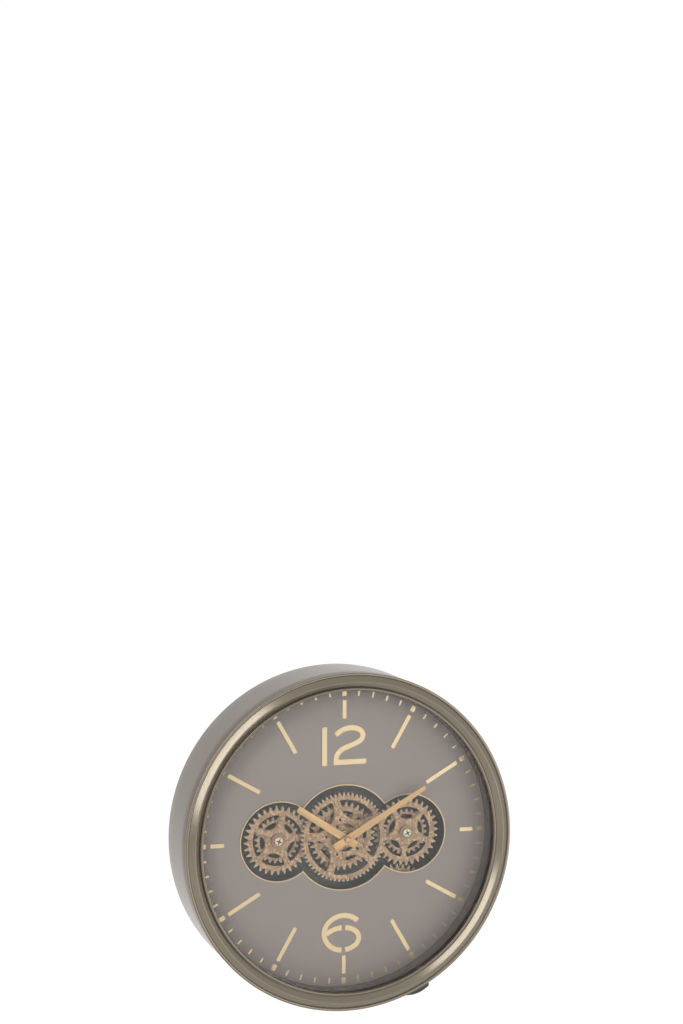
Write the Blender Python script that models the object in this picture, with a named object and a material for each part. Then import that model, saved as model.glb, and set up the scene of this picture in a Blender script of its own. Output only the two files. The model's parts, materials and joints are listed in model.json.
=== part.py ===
"""A round wall clock whose gear train shows through a three-lobed window in the dial.

Metres, +Z up. The wall is the plane y = 0 and the dial faces -Y. The origin is where the wall hook
carries the keyhole of the hanger plate, and the hands' axis lies HANG_RISE below it. Depths are
distances in front of the wall. Angles on the dial run clockwise from 12 o'clock.
"""

import math

import bmesh
import bpy
from mathutils import Matrix, Vector

MM = 0.001

# Case
CASE_DIAMETER = 360 * MM
DRUM_STEP = 0.5 * MM
DRUM_DEPTH = 77 * MM
SHEET = 1.6 * MM
FRONT_FLANGE = 7.5 * MM
REAR_FLANGE = 14.5 * MM
REAR_EDGE_RADIUS = 3.2 * MM
TABS = 4
TAB_FIRST_ANGLE = 45
TAB_REACH = 13.5 * MM
TAB_WIDTH = 16 * MM
GAP = 0.3 * MM

# Bezel
BEZEL_RIM = 1.3 * MM
BEZEL_STEP = 1.9 * MM
RIDGE_WIDTH = 13.4 * MM
RIDGE_HEIGHT = 4.4 * MM
GROOVE_WIDTH = 0.5 * MM
BEAD_WIDTH = 3.4 * MM
BEAD_HEIGHT = 1.5 * MM
LIP_DEPTH = 4.7 * MM

# Glass, dial ring and dial
GLASS_THICK = 3 * MM
GLASS_PLAY = 1.5 * MM
RING_HEIGHT = 15.7 * MM
RING_WALL = 1.4 * MM
DIAL_THICK = 1.2 * MM
CENTRE_WINDOW_RADIUS = 56.1 * MM
SIDE_WINDOW_RADIUS = 42.1 * MM
TRIM_WIDTH = 1.4 * MM
TRIM_THICK = 0.5 * MM

# Gears, all of the ring gears alike
GEAR_CENTRES = 72 * MM
GEAR_TEETH = 32
GEAR_ADDENDUM = 0.8 * MM
GEAR_DEDENDUM = 3.7 * MM
GEAR_TOOTH_BASE = 4.4 * MM
GEAR_TOOTH_TIP = 1.3 * MM
GEAR_THICK = 1.5 * MM
GEAR_FACE_DEPTH = 5.5 * MM
GEAR_RIM = 5.2 * MM
GEAR_STAR_DIP = 13.9 * MM
DRIVE_DIRECTION = 188
CENTRE_PHASE = 7.2
SPOKES = 5
SPOKE_HALF_ANGLE = 8
SPOKE_ANGLES = {"centre": 33.7, "left": 11.7, "right": 41.2, "drive": 20}

# Small gears behind them
SMALL_TEETH = 24
SMALL_TIP = 24.6 * MM
SMALL_ROOT = 21.6 * MM
SMALL_TOOTH_BASE = 3.8 * MM
SMALL_TOOTH_TIP = 1.6 * MM
SMALL_THICK = 1.5 * MM
SMALL_BEHIND_GEAR = GAP
SMALL_RIM = 2.6 * MM
SMALL_WINDOW_HALF_ANGLE = 28
SMALL_STAR_DIP = 12.6 * MM

# Large wheel of the centre stack
FRONT_TEETH = 60
FRONT_TIP = 47.9 * MM
FRONT_ROOT = 45 * MM
FRONT_TOOTH_BASE = 3.2 * MM
FRONT_TOOTH_TIP = 1.2 * MM
FRONT_THICK = 2 * MM
FRONT_BEFORE_DIAL = 0.5 * MM
FRONT_RIM = 4.6 * MM
FRONT_STAR_DIP = 22.2 * MM
FRONT_SPOKE_ANGLE = -13
FRONT_SPOKE_HALF_ANGLE = 7.4
FRONT_PHASE = 0.2
FRONT_EYE_OUTER = 15 * MM
FRONT_EYE_DIP = 11.5 * MM
FRONT_EYE_HALF_ANGLE = 26
FRONT_HOLE_PLACE = 19.5 * MM
FRONT_HOLE_RADIUS = 1.3 * MM

# Plate that carries the train
PLATE_BEHIND_DIAL = 15.8 * MM
PLATE_THICK = 2 * MM
PLATE_HALF_WIDTH = 125 * MM
PLATE_TOP = 70 * MM
PLATE_BOTTOM = 100 * MM
PLATE_CORNER = 18 * MM
PILLAR_RADIUS = 4 * MM
PILLAR_INSET = 13 * MM

# Hubs, posts and screws
HUB_WALL = 2.3 * MM
HUB_FLANGE = 2.5 * MM
HUB_PROUD = 0.9 * MM
RUNNING_PLAY = 0.2 * MM
POST_RADIUS = 4 * MM
POST_FOOT_RADIUS = 7 * MM
POST_FOOT_THICK = 1.8 * MM
WASHER_RADIUS = 7.5 * MM
WASHER_THICK = 1 * MM
SCREW_SHANK_RADIUS = 2.5 * MM
SCREW_HEAD_RADIUS = 5 * MM
SCREW_HEAD_TOP_RADIUS = 4 * MM
SCREW_HEAD_SIDE = 1.9 * MM
SCREW_HEAD_HEIGHT = 3.2 * MM
SCREW_GRIP = 7 * MM

# Clock movement and hands
MOVEMENT_SIDE = 56 * MM
MOVEMENT_THICK = 16 * MM
MOVEMENT_CORNER = 5 * MM
NECK_RADIUS = 4 * MM
NECK_BORE = 2.75 * MM
SLEEVE_WALL = 1.2 * MM
NUT_ACROSS = 13 * MM
NUT_THICK = 2.5 * MM
RETAINER_THICK = 2 * MM
NECK_STANDS_OUT = 3.8 * MM
HOUR_PIPE_RADIUS = 2.5 * MM
HOUR_PIPE_BORE = 1.8 * MM
ARBOR_RADIUS = 1.5 * MM
HAND_THICK = 1 * MM
HAND_SPACING = 1 * MM
HOUR_LENGTH = 65 * MM
HOUR_TAIL = 13.2 * MM
HOUR_WIDTH = 8.4 * MM
HOUR_TIP_WIDTH = 7 * MM
HOUR_TAIL_CORNER = 2 * MM
MINUTE_LENGTH = 101.8 * MM
MINUTE_TAIL = 16.5 * MM
MINUTE_WIDTH = 8.6 * MM
MINUTE_TIP_WIDTH = 4.6 * MM
MINUTE_TAIL_CORNER = 0.6 * MM
HOUR_ANGLE = 303.5
MINUTE_ANGLE = 60
CAP_RADIUS = 3.2 * MM
CAP_TOP_RADIUS = 2 * MM
CAP_SIDE = 0.9 * MM
CAP_HEIGHT = 1.9 * MM
KNOB_RADIUS = 7 * MM
KNOB_THICK = 4.5 * MM
KNOB_STEM_RADIUS = 1.6 * MM
KNOB_STEM_LENGTH = 4 * MM
KNOB_RIBS = 12
KNOB_RIB_HEIGHT = 0.7 * MM
KNOB_RIB_BASE = 2.2 * MM
KNOB_RIB_TOP = 1.5 * MM
KNOB_OFFSET = 9 * MM

# Batteries
BATTERY_RADIUS = 7.1 * MM
BATTERY_LENGTH = 49.2 * MM
BATTERY_NUB_RADIUS = 2.7 * MM
BATTERY_NUB_LENGTH = 1.2 * MM
BATTERY_PLAY = 0.4 * MM
TRAY_WALL = 1.5 * MM
TRAY_FROM_SIDE = 59 * MM
TRAY_FROM_BOTTOM = 48 * MM

# Gear motor
MOTOR_RADIUS = 25 * MM
MOTOR_THICK = 19 * MM
MOTOR_EAR_REACH = 32 * MM
MOTOR_EAR_RADIUS = 5 * MM
MOTOR_EAR_THICK = 1.5 * MM
MOTOR_EAR_HOLE = 1.7 * MM
SHAFT_RADIUS = 3 * MM

# Rocker switch under the rim
SWITCH_ANGLE = 155
SWITCH_BEHIND_RIM = 9 * MM
SWITCH_FLANGE_HALF = (18 * MM, 7 * MM)
SWITCH_FLANGE_THICK = 1.5 * MM
SWITCH_BODY_HALF = (16.4 * MM, 5.6 * MM)
SWITCH_BODY_DEPTH = 7.6 * MM
SWITCH_WALL = 1.1 * MM
SWITCH_FLOOR = 6.8 * MM
ROCKER_HALF_LENGTH = 14.6 * MM
ROCKER_RISE = 6.2 * MM
ROCKER_FOOT = 2.4 * MM
ROCKER_CROWN = 2.1 * MM
ROCKER_CORNER = 3 * MM
ROCKER_TILT = 7
ROCKER_PIVOT_DEPTH = 1 * MM

# Back
PAD_THICK = 1.7 * MM
PAD_RADIUS = 5 * MM
PAD_ANGLES = {"left": 210, "right": 150}
COVER_THICK = 1.5 * MM
COVER_OVERLAP = 9 * MM
SERVICE_HALF_WIDTH = 100 * MM
SERVICE_TOP = 34 * MM
SERVICE_BOTTOM = 82 * MM
SERVICE_CORNER = 12 * MM
HANGER_INSET = 29.5 * MM
KEYHOLE_DROP = 9 * MM
KEYHOLE_RADIUS = 5.5 * MM
KEYHOLE_SLOT_RADIUS = 2.6 * MM
HANGER_HALF_WIDTH = 28 * MM
HANGER_ABOVE = 8 * MM
HANGER_BELOW = 19 * MM
HANGER_CORNER = 4 * MM
HANGER_THICK = 1.4 * MM
HEAD_ROOM = 2.2 * MM

# Facets of a full turn, then of one ridge, bead, bend and spoke window
LARGE_TURN = 44
MEDIUM_TURN = 24
SMALL_TURN = 16
CELL_TURN = 12
RIDGE_STEPS = 6
BEAD_STEPS = 3
BEND_STEPS = 3
WINDOW_STEPS = 4
FRONT_WINDOW_STEPS = 5
EYE_STEPS = 3
EYE_TURN = 8
ROCKER_STEPS = 5

# Depths in front of the wall
REAR_RIM = PAD_THICK + GAP
COVER_REAR = REAR_RIM + SHEET + GAP
DRUM_FRONT = REAR_RIM + DRUM_DEPTH
BEZEL_SEAT = DRUM_FRONT + GAP
LIP_REAR = BEZEL_SEAT - LIP_DEPTH
GLASS_REAR = LIP_REAR - GAP - GLASS_THICK
RING_REAR = GLASS_REAR - GAP - RING_HEIGHT
DIAL_FRONT = RING_REAR - GAP
DIAL_REAR = DIAL_FRONT - DIAL_THICK
TAB_REAR = DIAL_REAR - GAP - SHEET
PLATE_FRONT = DIAL_REAR - PLATE_BEHIND_DIAL
PLATE_REAR = PLATE_FRONT - PLATE_THICK
GEAR_FRONT = DIAL_FRONT - GEAR_FACE_DEPTH
GEAR_REAR = GEAR_FRONT - GEAR_THICK
SMALL_FRONT = GEAR_REAR - SMALL_BEHIND_GEAR
SMALL_REAR = SMALL_FRONT - SMALL_THICK
FRONT_WHEEL_FRONT = DIAL_FRONT + FRONT_BEFORE_DIAL
FRONT_WHEEL_REAR = FRONT_WHEEL_FRONT - FRONT_THICK
NUT_REAR = PLATE_FRONT + GAP
NUT_FRONT = NUT_REAR + NUT_THICK
CENTRE_HUB_REAR = NUT_FRONT + GAP
CENTRE_HUB_FRONT = FRONT_WHEEL_FRONT + HUB_PROUD
RETAINER_REAR = CENTRE_HUB_FRONT + GAP
RETAINER_FRONT = RETAINER_REAR + RETAINER_THICK
NECK_FRONT = RETAINER_FRONT + NECK_STANDS_OUT
HOUR_REAR = NECK_FRONT + HAND_SPACING
MINUTE_REAR = HOUR_REAR + HAND_THICK + HAND_SPACING
CAP_REAR = MINUTE_REAR + HAND_THICK + GAP
MOVEMENT_FRONT = PLATE_REAR - GAP
MOVEMENT_REAR = MOVEMENT_FRONT - MOVEMENT_THICK
KNOB_STEM_FRONT = MOVEMENT_REAR + KNOB_STEM_LENGTH
SWITCH_DEPTH = DRUM_FRONT - SWITCH_BEHIND_RIM
SIDE_HUB_REAR = NUT_REAR + POST_FOOT_THICK + GAP
SIDE_HUB_FRONT = GEAR_FRONT + HUB_PROUD

# Radii
BEZEL_RADIUS = CASE_DIAMETER / 2
DRUM_RADIUS = BEZEL_RADIUS - DRUM_STEP
DRUM_BORE = DRUM_RADIUS - SHEET
RIDGE_OUTER = BEZEL_RADIUS - BEZEL_STEP
BEAD_OUTER = RIDGE_OUTER - RIDGE_WIDTH - GROOVE_WIDTH
OPENING_RADIUS = BEAD_OUTER - BEAD_WIDTH
HANG_RISE = DRUM_RADIUS - HANGER_INSET
SPIGOT_RADIUS = DRUM_RADIUS - FRONT_FLANGE - GAP
GLASS_RADIUS = SPIGOT_RADIUS - GLASS_PLAY
COVER_RADIUS = DRUM_RADIUS - REAR_FLANGE + COVER_OVERLAP
GEAR_TIP = GEAR_CENTRES / 2 + GEAR_ADDENDUM
GEAR_ROOT = GEAR_CENTRES / 2 - GEAR_DEDENDUM
SLEEVE_RADIUS = NECK_RADIUS + GAP + SLEEVE_WALL
CENTRE_HUB_BORE = SLEEVE_RADIUS + RUNNING_PLAY
CENTRE_HUB_RADIUS = CENTRE_HUB_BORE + HUB_WALL
SIDE_HUB_BORE = POST_RADIUS + RUNNING_PLAY
SIDE_HUB_RADIUS = SIDE_HUB_BORE + HUB_WALL
ROCKER_PIVOT_RADIUS = DRUM_RADIUS - ROCKER_PIVOT_DEPTH


def material(name, colour, roughness, metallic=0.0, alpha=1.0):
    found = bpy.data.materials.new(name)
    found.use_nodes = True
    shader = found.node_tree.nodes["Principled BSDF"]
    shader.inputs["Base Color"].default_value = (*colour, 1)
    shader.inputs["Roughness"].default_value = roughness
    shader.inputs["Metallic"].default_value = metallic
    shader.inputs["Alpha"].default_value = alpha
    return found


def make_materials():
    return {
        "pewter": material("pewter", (0.30, 0.27, 0.23), 0.35, 0.9),
        "glass": material("glass", (0.9, 0.95, 0.93), 0.05, 0.0, 0.2),
        "dial_paint": material("dial_paint", (0.29, 0.25, 0.23), 0.6),
        "ring_paint": material("ring_paint", (0.13, 0.13, 0.12), 0.6),
        "gilt": material("gilt", (0.75, 0.60, 0.36), 0.4, 0.6),
        "plate_paint": material("plate_paint", (0.075, 0.085, 0.075), 0.6),
        "copper": material("copper", (0.36, 0.25, 0.16), 0.5, 0.7),
        "steel": material("steel", (0.62, 0.60, 0.54), 0.35, 0.9),
        "brass": material("brass", (0.55, 0.42, 0.2), 0.35, 0.9),
        "black_plastic": material("black_plastic", (0.03, 0.03, 0.03), 0.5),
        "white_plastic": material("white_plastic", (0.75, 0.75, 0.72), 0.5),
        "battery_sleeve": material("battery_sleeve", (0.08, 0.09, 0.12), 0.35),
        "back_paint": material("back_paint", (0.04, 0.04, 0.04), 0.6),
        "rubber": material("rubber", (0.03, 0.03, 0.03), 0.8),
    }


def clear_scene():
    for found in list(bpy.data.objects):
        bpy.data.objects.remove(found, do_unlink=True)


def axis_empty(name, x, z, parent=None):
    """An empty on the axis at x and z, measured from its parent. Depths stay measured from the wall."""
    found = bpy.data.objects.new(name, None)
    bpy.context.scene.collection.objects.link(found)
    found.parent = parent
    found.location = (x, 0, z)
    return found


def add_object(name, shape, surface, parent):
    """Links the bmesh as an object of its own, shaded smooth but for its sharp edges."""
    shape.normal_update()
    bmesh.ops.recalc_face_normals(shape, faces=shape.faces)
    mesh = bpy.data.meshes.new(name)
    shape.to_mesh(mesh)
    shape.free()
    mesh.shade_smooth()
    mesh.set_sharp_from_angle(angle=math.radians(30))
    if surface:
        mesh.materials.append(surface)
    found = bpy.data.objects.new(name, mesh)
    bpy.context.scene.collection.objects.link(found)
    found.parent = parent
    return found


def cutter(name, shape, target, operation="DIFFERENCE"):
    """A hidden helper that the target's Boolean removes, or joins when the operation says so."""
    helper = add_object(name, shape, None, target.parent)
    helper.hide_render = True
    helper.display_type = "WIRE"
    boolean = target.modifiers.new(name, "BOOLEAN")
    boolean.object = helper
    boolean.operation = operation
    boolean.solver = "EXACT"


def polar(radius, angle):
    """The point at this radius and at this angle, in degrees clockwise from 12."""
    turn = math.radians(angle)
    return Vector((radius * math.sin(turn), radius * math.cos(turn)))


def arc(centre, radius, start, end, turn=SMALL_TURN):
    """Points from the start angle to the end angle, both included."""
    middle = Vector(centre)
    steps = max(2, round((end - start) / 360 * turn))
    return [middle + polar(radius, start + (end - start) * i / steps) for i in range(steps + 1)]


def circle(radius, turn=SMALL_TURN, centre=(0, 0)):
    return [Vector(centre) + polar(radius, 360 * i / turn) for i in range(turn)]


def arc_through(first, last, middle, steps):
    """The arc from the first point to the last by way of the middle one, ends left out."""
    chord = (last - first) / 2
    sagitta_vector = middle - (first + chord)
    sagitta = sagitta_vector.length
    radius = (chord.length_squared + sagitta * sagitta) / (2 * sagitta)
    centre = middle - sagitta_vector.normalized() * radius
    begin = first - centre
    sweep = begin.angle_signed(middle - centre) * 2
    return [centre + Matrix.Rotation(-sweep * i / steps, 2) @ begin for i in range(1, steps)]


def rounded_box(left, right, bottom, top, corner):
    corners = (
        (right - corner, top - corner, 0),
        (right - corner, bottom + corner, 90),
        (left + corner, bottom + corner, 180),
        (left + corner, top - corner, 270),
    )
    points = []
    for x, z, start in corners:
        points += arc((x, z), corner, start, start + 90)
    return points


def plate_shape(outline, holes, rear, front):
    """The outline with its holes cut through, from the rear depth to the front depth."""
    shape = bmesh.new()
    edges = []
    for loop in [outline, *holes]:
        verts = [shape.verts.new((point.x, -rear, point.y)) for point in loop]
        edges += [shape.edges.new((verts[i - 1], verts[i])) for i in range(len(verts))]
    filled = bmesh.ops.triangle_fill(shape, edges=edges, use_beauty=True, normal=(0, 1, 0))
    faces = [item for item in filled["geom"] if isinstance(item, bmesh.types.BMFace)]
    raised = bmesh.ops.extrude_face_region(shape, geom=faces, use_keep_orig=True)
    verts = [item for item in raised["geom"] if isinstance(item, bmesh.types.BMVert)]
    bmesh.ops.translate(shape, verts=verts, vec=(0, rear - front, 0))
    return shape


def turned_shape(profile, turn=SMALL_TURN):
    """The closed profile of (radius, depth) points turned once round the axis."""
    shape = bmesh.new()
    rings = []
    for radius, depth in profile:
        if not radius:
            rings.append([shape.verts.new((0, -depth, 0))])
            continue
        points = circle(radius, turn)
        rings.append([shape.verts.new((point.x, -depth, point.y)) for point in points])
    for here, there in zip(rings, rings[1:] + rings[:1]):
        if len(here) == 1 and len(there) == 1:
            continue
        for i in range(turn):
            corners = [here[i - 1], here[i]] if len(here) > 1 else [here[0]]
            corners += [there[i], there[i - 1]] if len(there) > 1 else [there[0]]
            shape.faces.new(corners)
    return shape


def ring_shape(inner, outer, rear, front):
    return turned_shape([(outer, rear), (outer, front), (inner, front), (inner, rear)])


def rod_shape(radius, rear, front, turn=SMALL_TURN):
    return turned_shape([(0, rear), (radius, rear), (radius, front), (0, front)], turn)


def toothed_outline(teeth, tip, root, base, point, phase):
    """Straight-sided teeth, base wide at the root and point wide at the tip, one at the phase angle."""
    base_half = math.degrees(base / 2 / root)
    point_half = math.degrees(point / 2 / tip)
    outline = []
    for i in range(teeth):
        angle = phase + 360 * i / teeth
        outline.append(polar(root, angle - base_half))
        outline.append(polar(tip, angle - point_half))
        outline.append(polar(tip, angle + point_half))
        outline.append(polar(root, angle + base_half))
    return outline


def lens_windows(outer, half_angle, dip, spoke_angle, steps):
    """Windows between the spokes: a round outer side, and an inner side that dips to a star."""
    windows = []
    for i in range(SPOKES):
        middle = spoke_angle + 360 * (i + 0.5) / SPOKES
        first, last = middle - half_angle, middle + half_angle
        window = arc_through(polar(outer, first), polar(outer, last), polar(outer, middle), steps)
        window = [polar(outer, first), *window, polar(outer, last)]
        window += arc_through(polar(outer, last), polar(outer, first), polar(dip, middle), steps)
        windows.append(window)
    return windows


def meshed_phase(direction, phase):
    """A tooth angle of an equal gear in that direction, in mesh with one that has a tooth at the phase."""
    pitch = 360 / GEAR_TEETH
    return (2 * direction + 180 - phase + pitch / 2) % pitch


def gear_shape(phase, spoke_angle, bore):
    outline = toothed_outline(
        GEAR_TEETH, GEAR_TIP, GEAR_ROOT, GEAR_TOOTH_BASE, GEAR_TOOTH_TIP, phase
    )
    half_angle = 180 / SPOKES - SPOKE_HALF_ANGLE
    outer = GEAR_ROOT - GEAR_RIM
    holes = lens_windows(outer, half_angle, GEAR_STAR_DIP, spoke_angle, WINDOW_STEPS)
    return plate_shape(outline, [*holes, circle(bore)], GEAR_REAR, GEAR_FRONT)


def small_gear_shape(spoke_angle, bore):
    outline = toothed_outline(
        SMALL_TEETH,
        SMALL_TIP,
        SMALL_ROOT,
        SMALL_TOOTH_BASE,
        SMALL_TOOTH_TIP,
        spoke_angle + 180 / SMALL_TEETH,
    )
    outer = SMALL_ROOT - SMALL_RIM
    holes = lens_windows(outer, SMALL_WINDOW_HALF_ANGLE, SMALL_STAR_DIP, spoke_angle, WINDOW_STEPS)
    return plate_shape(outline, [*holes, circle(bore)], SMALL_REAR, SMALL_FRONT)


def front_wheel_shape(bore):
    outline = toothed_outline(
        FRONT_TEETH, FRONT_TIP, FRONT_ROOT, FRONT_TOOTH_BASE, FRONT_TOOTH_TIP, FRONT_PHASE
    )
    half_angle = 180 / SPOKES - FRONT_SPOKE_HALF_ANGLE
    outer = FRONT_ROOT - FRONT_RIM
    holes = lens_windows(
        outer, half_angle, FRONT_STAR_DIP, FRONT_SPOKE_ANGLE, FRONT_WINDOW_STEPS
    )
    holes += lens_windows(
        FRONT_EYE_OUTER, FRONT_EYE_HALF_ANGLE, FRONT_EYE_DIP, FRONT_SPOKE_ANGLE, EYE_STEPS
    )
    for i in range(SPOKES):
        place = polar(FRONT_HOLE_PLACE, FRONT_SPOKE_ANGLE + 360 * i / SPOKES)
        holes.append(circle(FRONT_HOLE_RADIUS, EYE_TURN, (place.x, place.y)))
    return plate_shape(outline, [*holes, circle(bore)], FRONT_WHEEL_REAR, FRONT_WHEEL_FRONT)


def window_outline(centre_radius, side_radius):
    """The outline of the centre circle joined with the two side circles."""
    neck_x = (GEAR_CENTRES**2 + centre_radius**2 - side_radius**2) / (2 * GEAR_CENTRES)
    neck = math.degrees(math.asin(neck_x / centre_radius))
    side = math.degrees(math.acos((GEAR_CENTRES - neck_x) / side_radius))
    right = arc((GEAR_CENTRES, 0), side_radius, side - 90, 270 - side, MEDIUM_TURN)
    left = arc((-GEAR_CENTRES, 0), side_radius, 90 + side, 450 - side, MEDIUM_TURN)
    top = arc((0, 0), centre_radius, -neck, neck, MEDIUM_TURN)[1:-1]
    bottom = arc((0, 0), centre_radius, 180 - neck, 180 + neck, MEDIUM_TURN)[1:-1]
    return top + right + bottom + left


def make_drum(surfaces, clock):
    profile = [(DRUM_RADIUS - REAR_FLANGE, REAR_RIM)]
    bend_centre = (DRUM_RADIUS - REAR_EDGE_RADIUS, REAR_RIM + REAR_EDGE_RADIUS)
    for step in range(BEND_STEPS + 1):
        turn = math.radians(90 * step / BEND_STEPS)
        radius = bend_centre[0] + REAR_EDGE_RADIUS * math.sin(turn)
        depth = bend_centre[1] - REAR_EDGE_RADIUS * math.cos(turn)
        profile.append((radius, depth))
    profile += [
        (DRUM_RADIUS, DRUM_FRONT),
        (DRUM_RADIUS - FRONT_FLANGE, DRUM_FRONT),
        (DRUM_RADIUS - FRONT_FLANGE, DRUM_FRONT - SHEET),
        (DRUM_BORE, DRUM_FRONT - SHEET),
        (DRUM_BORE, REAR_RIM + REAR_EDGE_RADIUS),
        (DRUM_RADIUS - REAR_EDGE_RADIUS, REAR_RIM + SHEET),
        (DRUM_RADIUS - REAR_FLANGE, REAR_RIM + SHEET),
    ]
    drum = add_object("case_drum", turned_shape(profile, LARGE_TURN), surfaces["pewter"], clock)
    for i in range(TABS):
        tab = block_shape(
            (-TAB_WIDTH / 2, TAB_REAR, DRUM_RADIUS - TAB_REACH),
            (TAB_WIDTH / 2, TAB_REAR + SHEET, DRUM_RADIUS - SHEET / 2),
        )
        angle = TAB_FIRST_ANGLE + 360 * i / TABS
        tab.transform(Matrix.Rotation(math.radians(angle), 4, "Y"))
        cutter(f"dial_tab_{i + 1}", tab, drum, "UNION")
    half_length, half_width = (side + GAP for side in SWITCH_BODY_HALF)
    slot = block_shape(
        (-half_length, SWITCH_DEPTH - half_width, DRUM_BORE - SHEET),
        (half_length, SWITCH_DEPTH + half_width, DRUM_RADIUS + SHEET),
    )
    slot.transform(switch_turn())
    cutter("switch_slot", slot, drum)


def block_shape(low, high):
    """A box between two corners, given as x, depth and z."""
    shape = bmesh.new()
    bmesh.ops.create_cube(shape, size=1)
    for vert in shape.verts:
        x, depth, z = (low[i] if vert.co[i] < 0 else high[i] for i in range(3))
        vert.co = (x, -depth, z)
    return shape


def make_bezel(surfaces, clock):
    """Rim, step, half-round ridge, groove, bead and the lip that holds the glass."""
    ridge_centre = RIDGE_OUTER - RIDGE_WIDTH / 2
    base = BEZEL_SEAT + BEZEL_RIM
    profile = [(BEZEL_RADIUS, BEZEL_SEAT), (BEZEL_RADIUS, base)]
    for step in range(RIDGE_STEPS + 1):
        turn = math.pi * step / RIDGE_STEPS
        radius = ridge_centre + RIDGE_WIDTH / 2 * math.cos(turn)
        profile.append((radius, base + RIDGE_HEIGHT * math.sin(turn)))
    bead_centre = BEAD_OUTER - BEAD_WIDTH / 2
    for step in range(BEAD_STEPS + 1):
        turn = math.pi * step / BEAD_STEPS
        radius = bead_centre + BEAD_WIDTH / 2 * math.cos(turn)
        profile.append((radius, base + BEAD_HEIGHT * math.sin(turn)))
    profile += [
        (OPENING_RADIUS, LIP_REAR),
        (SPIGOT_RADIUS, LIP_REAR),
        (SPIGOT_RADIUS, BEZEL_SEAT),
    ]
    add_object("bezel", turned_shape(profile, LARGE_TURN), surfaces["pewter"], clock)


def make_front(surfaces, clock):
    """Glass, dial ring, dial and the gilt edge of its window."""
    glass = rod_shape(GLASS_RADIUS, GLASS_REAR, GLASS_REAR + GLASS_THICK, LARGE_TURN)
    add_object("glass", glass, surfaces["glass"], clock)
    ring_front = RING_REAR + RING_HEIGHT
    ring_profile = [
        (OPENING_RADIUS, RING_REAR),
        (OPENING_RADIUS + RING_WALL, RING_REAR),
        (OPENING_RADIUS + RING_WALL, ring_front - RING_WALL),
        (GLASS_RADIUS, ring_front - RING_WALL),
        (GLASS_RADIUS, ring_front),
        (OPENING_RADIUS, ring_front),
    ]
    ring = turned_shape(ring_profile, LARGE_TURN)
    add_object("dial_ring", ring, surfaces["ring_paint"], clock)
    window = window_outline(CENTRE_WINDOW_RADIUS, SIDE_WINDOW_RADIUS)
    dial = plate_shape(circle(SPIGOT_RADIUS, LARGE_TURN), [window], DIAL_REAR, DIAL_FRONT)
    add_object("dial", dial, surfaces["dial_paint"], clock)
    edge = window_outline(CENTRE_WINDOW_RADIUS + TRIM_WIDTH, SIDE_WINDOW_RADIUS + TRIM_WIDTH)
    trim_rear = DIAL_FRONT + GAP
    trim = plate_shape(edge, [window], trim_rear, trim_rear + TRIM_THICK)
    add_object("window_trim", trim, surfaces["gilt"], clock)


def make_plate(surfaces, clock):
    """The plate that carries the whole train, and its four pillars to the dial."""
    outline = rounded_box(
        -PLATE_HALF_WIDTH, PLATE_HALF_WIDTH, -PLATE_BOTTOM, PLATE_TOP, PLATE_CORNER
    )
    drive = drive_place()
    holes = [circle(NECK_RADIUS + GAP), circle(SHAFT_RADIUS + GAP, centre=drive)]
    plate = plate_shape(outline, holes, PLATE_REAR, PLATE_FRONT)
    add_object("gear_plate", plate, surfaces["plate_paint"], clock)
    across = PLATE_HALF_WIDTH - PILLAR_INSET
    places = (
        (-across, PLATE_TOP - PILLAR_INSET),
        (across, PLATE_TOP - PILLAR_INSET),
        (-across, PILLAR_INSET - PLATE_BOTTOM),
        (across, PILLAR_INSET - PLATE_BOTTOM),
    )
    for number, (x, z) in enumerate(places, 1):
        pillar = rod_shape(PILLAR_RADIUS, PLATE_FRONT + GAP, DIAL_REAR - GAP, CELL_TURN)
        found = add_object(f"plate_pillar_{number}", pillar, surfaces["steel"], clock)
        found.location = (x, 0, z)


def drive_place():
    """Where the drive gear turns: one centre distance from the right gear."""
    return Vector((GEAR_CENTRES, 0)) + polar(GEAR_CENTRES, DRIVE_DIRECTION)


def make_movement(surfaces, clock):
    """The clock movement behind the plate: housing with its battery bay, neck and neck nut."""
    half = MOVEMENT_SIDE / 2
    body = plate_shape(
        rounded_box(-half, half, -half, half, MOVEMENT_CORNER), [], MOVEMENT_REAR, MOVEMENT_FRONT
    )
    housing = add_object("movement_housing", body, surfaces["black_plastic"], clock)
    bay_half = BATTERY_LENGTH / 2 + BATTERY_NUB_LENGTH / 2 + BATTERY_PLAY
    bay_top = movement_battery_z() + BATTERY_RADIUS + BATTERY_PLAY
    bay_bottom = movement_battery_z() - BATTERY_RADIUS - BATTERY_PLAY
    bay = block_shape(
        (-bay_half, MOVEMENT_REAR - SHEET, bay_bottom),
        (bay_half, bay_floor(MOVEMENT_REAR), bay_top),
    )
    cutter("battery_bay", bay, housing)
    stem_way = rod_shape(KNOB_STEM_RADIUS + GAP, MOVEMENT_REAR - SHEET, KNOB_STEM_FRONT + GAP)
    stem_way.transform(Matrix.Translation((0, 0, KNOB_OFFSET)))
    cutter("stem_way", stem_way, housing)
    neck = ring_shape(NECK_BORE, NECK_RADIUS, MOVEMENT_FRONT + GAP, NECK_FRONT)
    add_object("movement_neck", neck, surfaces["brass"], clock)
    hexagon = circle(NUT_ACROSS / math.sqrt(3), 6)
    nut = plate_shape(hexagon, [circle(NECK_RADIUS + GAP)], NUT_REAR, NUT_FRONT)
    add_object("neck_nut", nut, surfaces["brass"], clock)
    battery = battery_object("clock_battery", surfaces, clock)
    battery.location = (0, -battery_depth(MOVEMENT_REAR), movement_battery_z())


def movement_battery_z():
    """The height of the battery's axis in the movement, close above its lower wall."""
    return -MOVEMENT_SIDE / 2 + TRAY_WALL + BATTERY_PLAY + BATTERY_RADIUS


def battery_depth(rear):
    """The depth of a battery's axis in a bay whose mouth is at the rear depth."""
    return rear + BATTERY_PLAY + BATTERY_RADIUS


def bay_floor(rear):
    return battery_depth(rear) + BATTERY_RADIUS + GAP


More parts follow.
